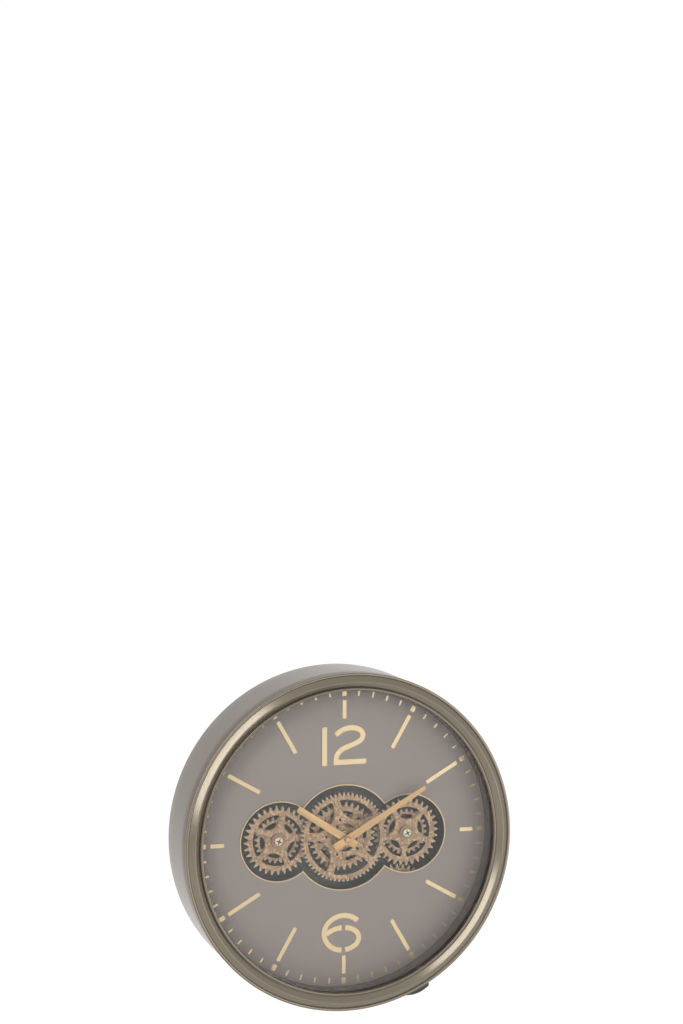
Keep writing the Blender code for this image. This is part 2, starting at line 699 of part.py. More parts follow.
def battery_object(name, surfaces, clock):
    """A cell along X with its positive nub, centred on its own length."""
    half = (BATTERY_LENGTH + BATTERY_NUB_LENGTH) / 2
    shoulder = half - BATTERY_NUB_LENGTH
    profile = [
        (0, -half),
        (BATTERY_RADIUS, -half),
        (BATTERY_RADIUS, shoulder),
        (BATTERY_NUB_RADIUS, shoulder),
        (BATTERY_NUB_RADIUS, half),
        (0, half),
    ]
    shape = turned_shape(profile, CELL_TURN)
    shape.transform(Matrix.Rotation(math.radians(-90), 4, "Z"))
    return add_object(name, shape, surfaces["battery_sleeve"], clock)


def make_battery_box(surfaces, clock):
    """Tray with two cells behind the plate, open to the rear."""
    cell_pitch = 2 * (BATTERY_RADIUS + BATTERY_PLAY) + TRAY_WALL
    half_length = (BATTERY_LENGTH + BATTERY_NUB_LENGTH) / 2 + BATTERY_PLAY
    outer_half = half_length + TRAY_WALL
    tray_front = PLATE_REAR - GAP
    tray_rear = tray_front - TRAY_WALL - GAP - 2 * BATTERY_RADIUS - BATTERY_PLAY
    x = TRAY_FROM_SIDE - PLATE_HALF_WIDTH
    z = TRAY_FROM_BOTTOM - PLATE_BOTTOM
    outer_height = cell_pitch + TRAY_WALL / 2
    body = block_shape(
        (x - outer_half, tray_rear, z - outer_height),
        (x + outer_half, tray_front, z + outer_height),
    )
    tray = add_object("battery_box", body, surfaces["black_plastic"], clock)
    for number, side in ((1, -1), (2, 1)):
        middle = z + side * cell_pitch / 2
        reach = BATTERY_RADIUS + BATTERY_PLAY
        bay = block_shape(
            (x - half_length, tray_rear - SHEET, middle - reach),
            (x + half_length, tray_front - TRAY_WALL, middle + reach),
        )
        cutter(f"tray_bay_{number}", bay, tray)
        cell = battery_object(f"motor_battery_{number}", surfaces, clock)
        cell.location = (x, -battery_depth(tray_rear), middle)
        cell.rotation_euler.z = math.pi if side > 0 else 0


def make_centre_stack(surfaces, clock):
    """Front wheel, gear and small gear on one hub, which turns on a sleeve round the neck."""
    sleeve = ring_shape(NECK_RADIUS + GAP, SLEEVE_RADIUS, CENTRE_HUB_REAR, RETAINER_REAR)
    add_object("centre_sleeve", sleeve, surfaces["brass"], clock)
    retainer = ring_shape(
        NECK_RADIUS + GAP, CENTRE_HUB_RADIUS, RETAINER_REAR + GAP, RETAINER_FRONT
    )
    add_object("centre_retainer", retainer, surfaces["brass"], clock)
    axis = axis_empty("centre_axis", 0, 0, clock)
    flange = CENTRE_HUB_RADIUS + HUB_FLANGE
    profile = [
        (CENTRE_HUB_BORE, CENTRE_HUB_REAR),
        (CENTRE_HUB_RADIUS, CENTRE_HUB_REAR),
        (CENTRE_HUB_RADIUS, GEAR_FRONT + GAP),
        (flange, GEAR_FRONT + GAP),
        (flange, FRONT_WHEEL_REAR - GAP),
        (CENTRE_HUB_RADIUS, FRONT_WHEEL_REAR - GAP),
        (CENTRE_HUB_RADIUS, CENTRE_HUB_FRONT),
        (CENTRE_HUB_BORE, CENTRE_HUB_FRONT),
    ]
    add_object("centre_hub", turned_shape(profile), surfaces["brass"], axis)
    bore = CENTRE_HUB_RADIUS + GAP
    spoke = SPOKE_ANGLES["centre"]
    copper = surfaces["copper"]
    add_object("centre_front_wheel", front_wheel_shape(bore), copper, axis)
    add_object("centre_gear", gear_shape(CENTRE_PHASE, spoke, bore), copper, axis)
    add_object("centre_small_gear", small_gear_shape(spoke, bore), copper, axis)


def side_hub_shape(bore, rear):
    flange = SIDE_HUB_RADIUS + HUB_FLANGE
    profile = [
        (bore, rear),
        (flange, rear),
        (flange, SMALL_REAR - GAP),
        (SIDE_HUB_RADIUS, SMALL_REAR - GAP),
        (SIDE_HUB_RADIUS, SIDE_HUB_FRONT),
        (bore, SIDE_HUB_FRONT),
    ]
    return turned_shape(profile)


def make_side_stack(side, direction, surfaces, clock):
    """One side's gears on their hub, the post they turn on, and the washer and screw before them."""
    place = polar(GEAR_CENTRES, direction)
    axis = axis_empty(f"{side}_axis", place.x, place.y, clock)
    copper, steel = surfaces["copper"], surfaces["steel"]
    bore = SIDE_HUB_RADIUS + GAP
    spoke = SPOKE_ANGLES[side]
    phase = meshed_phase(direction, CENTRE_PHASE)
    add_object(f"{side}_gear", gear_shape(phase, spoke, bore), copper, axis)
    add_object(f"{side}_small_gear", small_gear_shape(spoke, bore), copper, axis)
    hub = side_hub_shape(SIDE_HUB_BORE, SIDE_HUB_REAR)
    add_object(f"{side}_hub", hub, surfaces["brass"], axis)
    post_front = SIDE_HUB_FRONT + GAP
    washer_rear = post_front + GAP
    head_rear = washer_rear + WASHER_THICK + GAP
    shank_rear = head_rear - SCREW_GRIP
    socket = SCREW_SHANK_RADIUS + GAP
    post_profile = [
        (0, NUT_REAR),
        (POST_FOOT_RADIUS, NUT_REAR),
        (POST_FOOT_RADIUS, NUT_REAR + POST_FOOT_THICK),
        (POST_RADIUS, NUT_REAR + POST_FOOT_THICK),
        (POST_RADIUS, post_front),
        (socket, post_front),
        (socket, shank_rear - GAP),
        (0, shank_rear - GAP),
    ]
    add_object(f"{side}_post", turned_shape(post_profile), steel, axis)
    washer = ring_shape(socket, WASHER_RADIUS, washer_rear, washer_rear + WASHER_THICK)
    add_object(f"{side}_washer", washer, steel, axis)
    screw_profile = [
        (0, shank_rear),
        (SCREW_SHANK_RADIUS, shank_rear),
        (SCREW_SHANK_RADIUS, head_rear),
        (SCREW_HEAD_RADIUS, head_rear),
        (SCREW_HEAD_RADIUS, head_rear + SCREW_HEAD_SIDE),
        (SCREW_HEAD_TOP_RADIUS, head_rear + SCREW_HEAD_HEIGHT),
        (0, head_rear + SCREW_HEAD_HEIGHT),
    ]
    add_object(f"{side}_screw", turned_shape(screw_profile), steel, axis)


def make_drive(surfaces, clock):
    """The gear motor behind the plate, and the gear on its shaft that turns the right gear."""
    place = drive_place()
    axis = axis_empty("drive_axis", place.x, place.y, clock)
    motor_front = PLATE_REAR - GAP
    motor_rear = motor_front - MOTOR_THICK
    motor = rod_shape(MOTOR_RADIUS, motor_rear, motor_front, MEDIUM_TURN)
    housing = add_object("gear_motor", motor, surfaces["steel"], axis)
    ear_outline = arc((MOTOR_EAR_REACH, 0), MOTOR_EAR_RADIUS, 0, 180)
    ear_outline += arc((-MOTOR_EAR_REACH, 0), MOTOR_EAR_RADIUS, 180, 360)
    screw_holes = [
        circle(MOTOR_EAR_HOLE, CELL_TURN, (side * MOTOR_EAR_REACH, 0)) for side in (-1, 1)
    ]
    ears = plate_shape(ear_outline, screw_holes, motor_front - MOTOR_EAR_THICK, motor_front)
    cutter("motor_ears", ears, housing, "UNION")
    shaft_way = rod_shape(SHAFT_RADIUS + GAP, motor_front - SCREW_GRIP - GAP, motor_front + SHEET)
    cutter("shaft_way", shaft_way, housing)
    shaft = rod_shape(SHAFT_RADIUS, motor_front - SCREW_GRIP, SIDE_HUB_FRONT)
    add_object("motor_shaft", shaft, surfaces["steel"], axis)
    hub = side_hub_shape(SHAFT_RADIUS + GAP, SIDE_HUB_REAR)
    add_object("drive_hub", hub, surfaces["brass"], axis)
    right_phase = meshed_phase(90, CENTRE_PHASE)
    phase = meshed_phase(DRIVE_DIRECTION, right_phase)
    gear = gear_shape(phase, SPOKE_ANGLES["drive"], SIDE_HUB_RADIUS + GAP)
    add_object("drive_gear", gear, surfaces["copper"], axis)


def hand_outline(length, tail, width, tip_width, tail_corner):
    """A flat hand that points up: square tail, tapered blade and a half-round tip."""
    tip_radius = tip_width / 2
    half = width / 2
    points = arc((0, length - tip_radius), tip_radius, -90, 90)
    points += arc((half - tail_corner, tail_corner - tail), tail_corner, 90, 180)
    points += arc((tail_corner - half, tail_corner - tail), tail_corner, 180, 270)
    return points


def make_hands(surfaces, clock):
    """Hour hand on its pipe, minute hand on its arbor, and the cap nut."""
    hour_axis = axis_empty("hour_axis", 0, 0, clock)
    minute_axis = axis_empty("minute_axis", 0, 0, clock)
    works_rear = MOVEMENT_FRONT + GAP
    pipe = ring_shape(HOUR_PIPE_BORE, HOUR_PIPE_RADIUS, works_rear, HOUR_REAR + HAND_THICK)
    add_object("hour_pipe", pipe, surfaces["brass"], hour_axis)
    outline = hand_outline(HOUR_LENGTH, HOUR_TAIL, HOUR_WIDTH, HOUR_TIP_WIDTH, HOUR_TAIL_CORNER)
    bore = circle(HOUR_PIPE_RADIUS + GAP)
    hour = plate_shape(outline, [bore], HOUR_REAR, HOUR_REAR + HAND_THICK)
    found = add_object("hour_hand", hour, surfaces["gilt"], hour_axis)
    found.rotation_euler.y = math.radians(HOUR_ANGLE)
    arbor = rod_shape(ARBOR_RADIUS, works_rear, MINUTE_REAR + HAND_THICK)
    add_object("minute_arbor", arbor, surfaces["brass"], minute_axis)
    outline = hand_outline(
        MINUTE_LENGTH, MINUTE_TAIL, MINUTE_WIDTH, MINUTE_TIP_WIDTH, MINUTE_TAIL_CORNER
    )
    bore = circle(ARBOR_RADIUS + GAP)
    minute = plate_shape(outline, [bore], MINUTE_REAR, MINUTE_REAR + HAND_THICK)
    found = add_object("minute_hand", minute, surfaces["gilt"], minute_axis)
    found.rotation_euler.y = math.radians(MINUTE_ANGLE)
    cap_profile = [
        (0, CAP_REAR),
        (CAP_RADIUS, CAP_REAR),
        (CAP_RADIUS, CAP_REAR + CAP_SIDE),
        (CAP_TOP_RADIUS, CAP_REAR + CAP_HEIGHT),
        (0, CAP_REAR + CAP_HEIGHT),
    ]
    add_object("cap_nut", turned_shape(cap_profile), surfaces["gilt"], minute_axis)


def make_set_knob(surfaces, clock):
    """The ribbed knob on the movement's back that sets the time."""
    axis = axis_empty("knob_axis", 0, KNOB_OFFSET, clock)
    knob_front = MOVEMENT_REAR - GAP
    knob_rear = knob_front - KNOB_THICK
    root = KNOB_RADIUS - KNOB_RIB_HEIGHT
    outline = toothed_outline(KNOB_RIBS, KNOB_RADIUS, root, KNOB_RIB_BASE, KNOB_RIB_TOP, 0)
    disc = plate_shape(outline, [], knob_rear, knob_front)
    knob = add_object("set_knob", disc, surfaces["white_plastic"], axis)
    stem = rod_shape(KNOB_STEM_RADIUS, knob_front - KNOB_THICK / 2, KNOB_STEM_FRONT)
    cutter("knob_stem", stem, knob, "UNION")


def switch_turn():
    """Turns a shape made under 12 o'clock to the switch's place on the drum."""
    return Matrix.Rotation(math.radians(SWITCH_ANGLE), 4, "Y")


def make_switch(surfaces, clock):
    """Switch body in the drum's wall with a rocker pressed down on its left end."""
    depth = SWITCH_DEPTH
    half_length, half_width = SWITCH_BODY_HALF
    seat = DRUM_RADIUS + GAP
    body = block_shape(
        (-half_length, depth - half_width, seat - SWITCH_BODY_DEPTH),
        (half_length, depth + half_width, seat + SWITCH_FLANGE_THICK / 2),
    )
    body.transform(switch_turn())
    switch = add_object("switch_body", body, surfaces["black_plastic"], clock)
    flange_length, flange_width = SWITCH_FLANGE_HALF
    flange = block_shape(
        (-flange_length, depth - flange_width, seat),
        (flange_length, depth + flange_width, seat + SWITCH_FLANGE_THICK),
    )
    flange.transform(switch_turn())
    cutter("switch_flange", flange, switch, "UNION")
    pocket = block_shape(
        (SWITCH_WALL - half_length, depth - half_width + SWITCH_WALL, seat - SWITCH_FLOOR),
        (half_length - SWITCH_WALL, depth + half_width - SWITCH_WALL, seat + 2 * SHEET),
    )
    pocket.transform(switch_turn())
    cutter("switch_pocket", pocket, switch)
    place = polar(ROCKER_PIVOT_RADIUS, SWITCH_ANGLE)
    axis = axis_empty("rocker_axis", place.x, place.y, clock)
    half_rocker = half_width - SWITCH_WALL - GAP
    rocker = plate_shape(rocker_outline(), [], depth - half_rocker, depth + half_rocker)
    found = add_object("switch_rocker", rocker, surfaces["black_plastic"], axis)
    found.rotation_euler.y = math.radians(SWITCH_ANGLE + ROCKER_TILT)


def rocker_outline():
    """The rocker's side view round its pivot: a crowned top with rounded ends."""
    flange_top = DRUM_RADIUS + GAP + SWITCH_FLANGE_THICK
    top = flange_top + ROCKER_RISE - ROCKER_PIVOT_RADIUS
    right = ROCKER_HALF_LENGTH
    shoulder = Vector((right - ROCKER_CORNER, top - ROCKER_CROWN))
    other = Vector((-shoulder.x, shoulder.y))
    points = [shoulder]
    points += arc((shoulder.x, shoulder.y - ROCKER_CORNER), ROCKER_CORNER, 40, 90, SMALL_TURN)
    points += [Vector((right, -ROCKER_FOOT)), Vector((-right, -ROCKER_FOOT))]
    points += arc((other.x, other.y - ROCKER_CORNER), ROCKER_CORNER, 270, 320, SMALL_TURN)
    points.append(other)
    return points + arc_through(other, shoulder, Vector((0, top)), ROCKER_STEPS)


def make_back(surfaces, clock):
    """Rear cover with its service opening, hanger plate with its keyhole, and the wall pads."""
    service = rounded_box(
        -SERVICE_HALF_WIDTH, SERVICE_HALF_WIDTH, -SERVICE_BOTTOM, SERVICE_TOP, SERVICE_CORNER
    )
    keyhole_z = HANG_RISE - KEYHOLE_DROP
    room = KEYHOLE_RADIUS + HEAD_ROOM
    head_way = arc((0, HANG_RISE), room, -90, 90) + arc((0, keyhole_z), room, 90, 270)
    cover = plate_shape(
        circle(COVER_RADIUS, LARGE_TURN), [service, head_way], COVER_REAR, COVER_REAR + COVER_THICK
    )
    add_object("rear_cover", cover, surfaces["back_paint"], clock)
    hanger_outline = rounded_box(
        -HANGER_HALF_WIDTH,
        HANGER_HALF_WIDTH,
        HANG_RISE - HANGER_BELOW,
        HANG_RISE + HANGER_ABOVE,
        HANGER_CORNER,
    )
    slot_meets = math.degrees(math.asin(KEYHOLE_SLOT_RADIUS / KEYHOLE_RADIUS))
    keyhole = arc((0, HANG_RISE), KEYHOLE_SLOT_RADIUS, -90, 90)
    keyhole += arc((0, keyhole_z), KEYHOLE_RADIUS, slot_meets, 360 - slot_meets)
    hanger_front = COVER_REAR - GAP
    hanger = plate_shape(hanger_outline, [keyhole], hanger_front - HANGER_THICK, hanger_front)
    add_object("hanger_plate", hanger, surfaces["steel"], clock)
    for side, angle in PAD_ANGLES.items():
        pad = rod_shape(PAD_RADIUS, 0, PAD_THICK)
        found = add_object(f"wall_pad_{side}", pad, surfaces["rubber"], clock)
        place = polar(DRUM_RADIUS - (REAR_FLANGE + REAR_EDGE_RADIUS) / 2, angle)
        found.location = (place.x, 0, place.y)


def main():
    clear_scene()
    surfaces = make_materials()
    clock = axis_empty("clock_axis", 0, -HANG_RISE)
    make_drum(surfaces, clock)
    make_bezel(surfaces, clock)
    make_front(surfaces, clock)
    make_plate(surfaces, clock)
    make_movement(surfaces, clock)
    make_battery_box(surfaces, clock)
    make_centre_stack(surfaces, clock)
    make_side_stack("left", 270, surfaces, clock)
    make_side_stack("right", 90, surfaces, clock)
    make_drive(surfaces, clock)
    make_hands(surfaces, clock)
    make_set_knob(surfaces, clock)
    make_switch(surfaces, clock)
    make_back(surfaces, clock)


if __name__ == "__main__":
    main()
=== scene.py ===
"""A round wall clock with its gear train open to view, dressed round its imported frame.

Metres, +Z up, and the dial faces -Y. Depths are measured from the wall, and angles on the dial run
clockwise from 12 o'clock. A profile is a closed list of (radius, depth) points.
"""

import json
import math

import bmesh
import bpy
from bpy.props import FloatProperty, FloatVectorProperty, IntProperty, PointerProperty
from mathutils import Matrix, Vector
from mathutils.geometry import delaunay_2d_cdt


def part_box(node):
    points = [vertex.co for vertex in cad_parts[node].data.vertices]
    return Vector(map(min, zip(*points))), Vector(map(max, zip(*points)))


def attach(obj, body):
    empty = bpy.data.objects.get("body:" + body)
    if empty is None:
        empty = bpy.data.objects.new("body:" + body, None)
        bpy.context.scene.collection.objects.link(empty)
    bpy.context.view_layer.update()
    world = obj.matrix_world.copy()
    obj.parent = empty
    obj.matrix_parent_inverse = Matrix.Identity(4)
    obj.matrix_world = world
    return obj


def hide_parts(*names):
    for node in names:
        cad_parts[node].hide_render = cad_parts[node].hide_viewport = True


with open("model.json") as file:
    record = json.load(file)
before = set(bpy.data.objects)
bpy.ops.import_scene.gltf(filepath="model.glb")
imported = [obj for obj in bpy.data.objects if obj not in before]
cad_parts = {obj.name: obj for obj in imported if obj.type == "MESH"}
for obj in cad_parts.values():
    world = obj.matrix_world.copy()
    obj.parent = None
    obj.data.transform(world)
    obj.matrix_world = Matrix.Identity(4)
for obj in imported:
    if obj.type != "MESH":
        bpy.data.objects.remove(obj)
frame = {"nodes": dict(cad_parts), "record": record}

bl_info = {
    "name": "Gear wall clock",
    "version": (1, 0, 0),
    "blender": (4, 5, 0),
    "location": "3D View > Sidebar > Clock",
    "description": "Dresses the packed frame of a gear wall clock, piece by piece",
    "category": "Object",
}

MM = 0.001
PLAY = 0.3 * MM
FULL_TURN = 2 * math.pi
BODY_OF = {
    node: body
    for body, nodes in frame["record"]["behaviour"]["bodies"].items()
    for node in nodes
}
SURFACES = {}


def mm(*sizes):
    """Millimetres as metres."""
    return [size * MM for size in sizes]


def span(node):
    """The rear and the front depth of a CAD node."""
    low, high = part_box(node)
    return -high.y, -low.y


def middle(node):
    low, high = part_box(node)
    return Vector(((low.x + high.x) / 2, (low.z + high.z) / 2))


def reach(node):
    """Half the width of a CAD node, which is the radius of a round one."""
    low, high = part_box(node)
    return (high.x - low.x) / 2


CLOCK = middle("glass")


# Properties, with lengths given in millimetres and angles in degrees

def maker(kind, scale=1, **fixed):
    """Makes the properties of one kind from a name, a default and a description."""
    def make(name, default, description):
        return kind(name=name, description=description, default=default * scale, **fixed)
    return make


length = maker(FloatProperty, MM, min=0, precision=5, unit="LENGTH")
angle = maker(FloatProperty, math.radians(1), subtype="ANGLE")
amount = maker(FloatProperty, min=0)
count = maker(IntProperty, min=1)
colour = maker(FloatVectorProperty, min=0, max=1, subtype="COLOR")
place = maker(FloatVectorProperty, subtype="TRANSLATION")


class StageSettings(bpy.types.PropertyGroup):
    lens: amount("Lens", 74.53, "Focal length in millimetres on a sensor 36 mm high")
    camera_place: place("Camera", (-0.6997, -2.1709, 0.3474), "Where the camera stands")
    camera_look: place("Look", (0.31164, 0.94782, -0.06725), "The way the camera looks")
    camera_up: place("Up", (0.01789, 0.06491, 0.99773), "The camera's upward direction")
    key_power: amount("Key light", 24, "Power of the soft light from the lower right, in watts")
    fill_power: amount("Fill light", 15, "Power of the strip light at the upper left, in watts")
    ambient: amount("Ambient", 0.60, "Strength of the even light from all round")
    floor_drop: length("Floor drop", 450, "How far the floor lies below the case")
    floor_side: length("Floor side", 14000, "Side of the square floor")


class CaseSettings(bpy.types.PropertyGroup):
    sheet: length("Sheet", 1.6, "Thickness of the drum's sheet")
    rear_flange: length("Rear flange", 14.5, "Width of the flange turned in at the back")
    rear_bend: length("Rear bend", 3.2, "Outer radius of the bend at the back")
    front_flange: length("Front flange", 7.5, "Width of the flange under the bezel")
    lip: length("Bezel lip", 4.7, "How far the bezel drops into the drum")
    rim: length("Bezel rim", 0.7, "Height of the thin rim round the bezel")
    step: length("Bezel step", 3.4, "From the outer edge to the ridge's foot")
    ridge_width: length("Ridge width", 11.7, "Width of the ridge, which has two slopes")
    outer_slope: length("Outer slope", 6.0, "Width of the ridge's outer slope")
    outer_fall: length("Outer fall", 3.7, "How far the outer slope falls to the rim")
    ridge_height: length("Ridge height", 4.4, "Height of the ridge")
    groove: length("Groove", 0.5, "Width of the groove inside the ridge")
    bead_width: length("Bead width", 3.4, "Width of the bead at the opening")
    bead_height: length("Bead height", 1.2, "Height of the bead at the opening")
    spigot: length("Spigot", 171.7, "Radius of the part that drops into the drum")
    tab_width: length("Tab width", 16, "Width of the tabs that carry the dial")
    tab_reach: length("Tab reach", 13.5, "How far the tabs reach in from the drum")
    drum_colour: colour("Drum", (0.155, 0.128, 0.098), "Colour of the brushed drum")
    bezel_colour: colour("Bezel", (0.195, 0.168, 0.130), "Colour of the aged bezel")


class DialSettings(bpy.types.PropertyGroup):
    unit: length("Bar circle", 147.5, "Radius of the hour bars' outer ends")
    centre_window: length("Centre window", 56.1, "Radius of the middle lobe")
    side_window: length("Side window", 42.1, "Radius of the side lobes")
    centres: length("Lobe distance", 72, "From the middle lobe to a side lobe")
    trim: length("Trim", 1.15, "Width of the gilt edge round the window")
    ring_width: length("Ring width", 9.4, "Width of the ring's collar under the glass")
    ring_wall: length("Ring wall", 1.4, "Thickness of the ring round the dial")
    bar_width: length("Bar width", 4.5, "Width of an hour bar")
    bar_height: length("Bar height", 0.5, "How far the bars stand off the dial")
    tick_height: length("Tick height", 0.2, "How far the ticks stand off the dial")
    stroke: length("Stroke", 5.45, "Width of the numerals' strokes")
    tick_width: length("Tick width", 2.1, "Width of a minute tick")
    block_width: length("Block width", 5.0, "Width of the marks outside the hours")
    dial_colour: colour("Dial", (0.31, 0.264, 0.236), "Colour of the matt dial")
    mark_colour: colour("Marks", (0.555, 0.43, 0.25), "Colour of the gilt marks")
    ring_colour: colour("Dial ring", (0.15, 0.13, 0.12), "Colour of the ring round the dial")


class WheelSettings(bpy.types.PropertyGroup):
    ring_teeth: count("Ring teeth", 32, "Teeth of the four gears that mesh")
    small_teeth: count("Small teeth", 24, "Teeth of the gears behind them")
    front_teeth: count("Front teeth", 60, "Teeth of the large wheel in front")
    spokes: count("Spokes", 5, "Spokes of every wheel")
    edge: length("Edge", 0.25, "Width of the worn edges")
    eye_radius: length("Eye radius", 15, "Outer radius of the front wheel's inner windows")
    eye_dip: length("Eye dip", 11.5, "Where those windows come nearest to the axis")
    eye_half_angle: angle("Eye half angle", 26, "Half of the angle that such a window takes")
    hole_place: length("Hole place", 19.5, "Where the small holes in the spokes lie")
    hole_radius: length("Hole radius", 1.3, "Radius of those holes")
    light_copper: colour("Light copper", (0.66, 0.42, 0.26), "Worn metal on teeth and edges")
    copper: colour("Copper", (0.40, 0.235, 0.12), "Most of the wheels")
    olive: colour("Olive", (0.30, 0.235, 0.115), "Olive patches")
    brown: colour("Brown", (0.07, 0.042, 0.03), "Dark patches")


class HandSettings(bpy.types.PropertyGroup):
    hour_length: length("Hour length", 65, "From the axis to the hour hand's tip")
    hour_tail: length("Hour tail", 13.2, "From the axis to the hour hand's tail")
    hour_width: length("Hour width", 8.4, "Width of the hour hand")
    hour_tip: length("Hour tip", 7, "Width at the hour hand's tip")
    hour_angle: angle("Hour angle", 303.5, "Where the hour hand points")
    minute_length: length("Minute length", 101.8, "From the axis to the minute hand's tip")
    minute_tail: length("Minute tail", 16.5, "From the axis to the minute hand's tail")
    minute_width: length("Minute width", 8.6, "Width of the minute hand")
    minute_tip: length("Minute tip", 5.0, "Width at the minute hand's tip")
    minute_angle: angle("Minute angle", 60, "Where the minute hand points")
    gilt_colour: colour("Hands", (0.56, 0.35, 0.155), "Colour of the hands")
    cap_colour: colour("Cap", (0.66, 0.38, 0.14), "Colour of the cap over the hands")


class WorksSettings(bpy.types.PropertyGroup):
    plate_colour: colour("Plate", (0.074, 0.068, 0.052), "Colour of the plate behind the gears")
    service_half_width: length("Service half width", 100, "Half width of the back opening")
    service_top: length("Service top", 34, "Top of the back opening above the axis")
    service_bottom: length("Service bottom", 82, "Bottom of it below the axis")
    service_corner: length("Service corner", 12, "Corner radius of the back opening")
    cover_screws: count("Cover screws", 6, "Screws that hold the rear cover")


# Node trees

def math_method(operation, reflected=False):
    """A method that adds one Math node, whose operands change places where it is reflected."""
    def method(self, *others):
        return self.math(operation, *((*others, self) if reflected else (self, *others)))
    return method


class Wire:
    """One output of a node, with arithmetic that adds the nodes it needs."""

    __add__, __radd__ = math_method("ADD"), math_method("ADD", True)
    __sub__, __rsub__ = math_method("SUBTRACT"), math_method("SUBTRACT", True)
    __mul__, __rmul__ = math_method("MULTIPLY"), math_method("MULTIPLY", True)
    __truediv__, __rtruediv__ = math_method("DIVIDE"), math_method("DIVIDE", True)
    __mod__, __abs__ = math_method("FLOORED_MODULO"), math_method("ABSOLUTE")
    __gt__, __lt__ = math_method("GREATER_THAN"), math_method("LESS_THAN")
    sin, cos, arctan2 = math_method("SINE"), math_method("COSINE"), math_method("ARCTAN2")
    root, largest, smallest = map(math_method, ("SQRT", "MAXIMUM", "MINIMUM"))

    def __init__(self, tree, socket):
        self.tree, self.socket = tree, socket

    def math(self, operation, *values):
        return self.tree.add("ShaderNodeMath", {"operation": operation}, dict(enumerate(values)))


class Tree:
    """A node tree that is filled one node at a time."""

    def __init__(self, nodes):
        self.nodes = nodes
        nodes.nodes.clear()

    def add(self, kind, settings=None, values=None, output=0):
        """Adds a node with its settings and its sockets' values or links, and gives an output."""
        node = self.nodes.nodes.new(kind)
        for key, value in (settings or {}).items():
            setattr(node, key, value)
        for key, value in (values or {}).items():
            self.feed(node.inputs[key], value)
        return Wire(self, node.outputs[output]) if len(node.outputs) else node

    def feed(self, socket, value):
        if isinstance(value, (Wire, list)):
            for wire in value if isinstance(value, list) else [value]:
                self.nodes.links.new(wire.socket, socket)
        elif socket.type == "RGBA":
            socket.default_value = (*value[:3], 1)
        else:
            socket.default_value = value

    def combine(self, x, y, z):
        return self.add("ShaderNodeCombineXYZ", None, {0: x, 1: y, 2: z})

    def vector(self, operation, values, output=0):
        return self.add("ShaderNodeVectorMath", {"operation": operation}, values, output)

    def eased(self, value, low, high):
        """The value's way from low to high as a share, softly and never past nought or one."""
        values = {"Value": value, "From Min": low, "From Max": high}
        return self.add("ShaderNodeMapRange", {"interpolation_type": "SMOOTHSTEP"}, values)


class Surface(Tree):
    """A material on Object coordinates, which the dial's centre is the origin of."""

    def __init__(self, name):
        self.material = SURFACES[name] = bpy.data.materials.new(name)
        self.material.use_nodes = True
        super().__init__(self.material.node_tree)
        object_place = self.add("ShaderNodeTexCoord", None, None, "Object")
        values = {"Vector": object_place, "Location": (-CLOCK.x, 0, -CLOCK.y)}
        self.place = self.add("ShaderNodeMapping", {"vector_type": "POINT"}, values)

    def parts(self):
        """The turn round the hands' axis, Y, and the distance from that axis."""
        x, y, z = (self.add("ShaderNodeSeparateXYZ", None, {0: self.place}, i) for i in range(3))
        return x.arctan2(z), y, (x * x + z * z).root()

    def noise(self, scale, detail=3.0, roughness=0.55, vector=None, distortion=0.0):
        return self.add("ShaderNodeTexNoise", None, {
            "Vector": vector or self.place, "Scale": float(scale), "Detail": detail,
            "Roughness": roughness, "Distortion": distortion,
        })

    def blend(self, factor, first, second):
        values = {0: factor, 6: first, 7: second}
        return self.add("ShaderNodeMix", {"data_type": "RGBA"}, values, 2)

    def bump(self, height, distance, strength):
        values = {"Height": height, "Distance": distance, "Strength": strength}
        return self.add("ShaderNodeBump", None, values)

    def finish(self, **values):
        """Ends the tree in a Principled shader with these sockets, underscores read as blanks."""
        values = {key.replace("_", " "): value for key, value in values.items()}
        shader = self.add("ShaderNodeBsdfPrincipled", None, values)
        self.add("ShaderNodeOutputMaterial", None, {"Surface": shader})


class Shape(Tree):
    """A Geometry Nodes tree with one mesh as its output, its inputs named and filled as given."""

    KINDS = {
        int: "Int", float: "Float", tuple: "Vector", bpy.types.Object: "Object",
        bpy.types.Material: "Material",
    }

    def __init__(self, name, values):
        super().__init__(bpy.data.node_groups.new(name, "GeometryNodeTree"))
        new_socket = self.nodes.interface.new_socket
        for label, value in values.items():
            kind = f"NodeSocket{self.KINDS[type(value)]}"
            new_socket(label, in_out="INPUT", socket_type=kind).default_value = value
        new_socket("Geometry", in_out="OUTPUT", socket_type="NodeSocketGeometry")
        self.group = self.nodes.nodes.new("NodeGroupInput")

    def __getitem__(self, label):
        return Wire(self, self.group.outputs[label])

    def moved(self, geometry, **values):
        """The geometry with this Position, or with this Offset, of its points in the Selection."""
        return self.add("GeometryNodeSetPosition", None, {"Geometry": geometry, **values})

    def joined(self, *geometries):
        return self.add("GeometryNodeJoinGeometry", None, {0: list(reversed(geometries))})

    def stored(self, geometry, name, kind, value):
        """The geometry with a named attribute on its points."""
        settings = {"data_type": kind, "domain": "POINT"}
        values = {"Geometry": geometry, "Name": name, "Value": value}
        return self.add("GeometryNodeStoreNamedAttribute", settings, values)

    def finish(self, geometry):
        solid = self.add("GeometryNodeRealizeInstances", None, {"Geometry": geometry})
        values = {"Geometry": solid, "Material": self["Surface"]}
        dressed = self.add("GeometryNodeSetMaterial", None, values)
        self.add("NodeGroupOutput", None, {0: dressed})


# Flat outlines

def polar(radius, turn):
    """The point at this radius and at this angle in degrees."""
    return Vector((math.sin(math.radians(turn)), math.cos(math.radians(turn)))) * radius


def ellipse(centre, half_width, half_height, start, end, steps):
    """Points of an ellipse between two angles."""
    points = (polar(1, start + (end - start) * i / steps) for i in range(steps + 1))
    return [Vector(centre) + Vector((x * half_width, y * half_height)) for x, y in points]


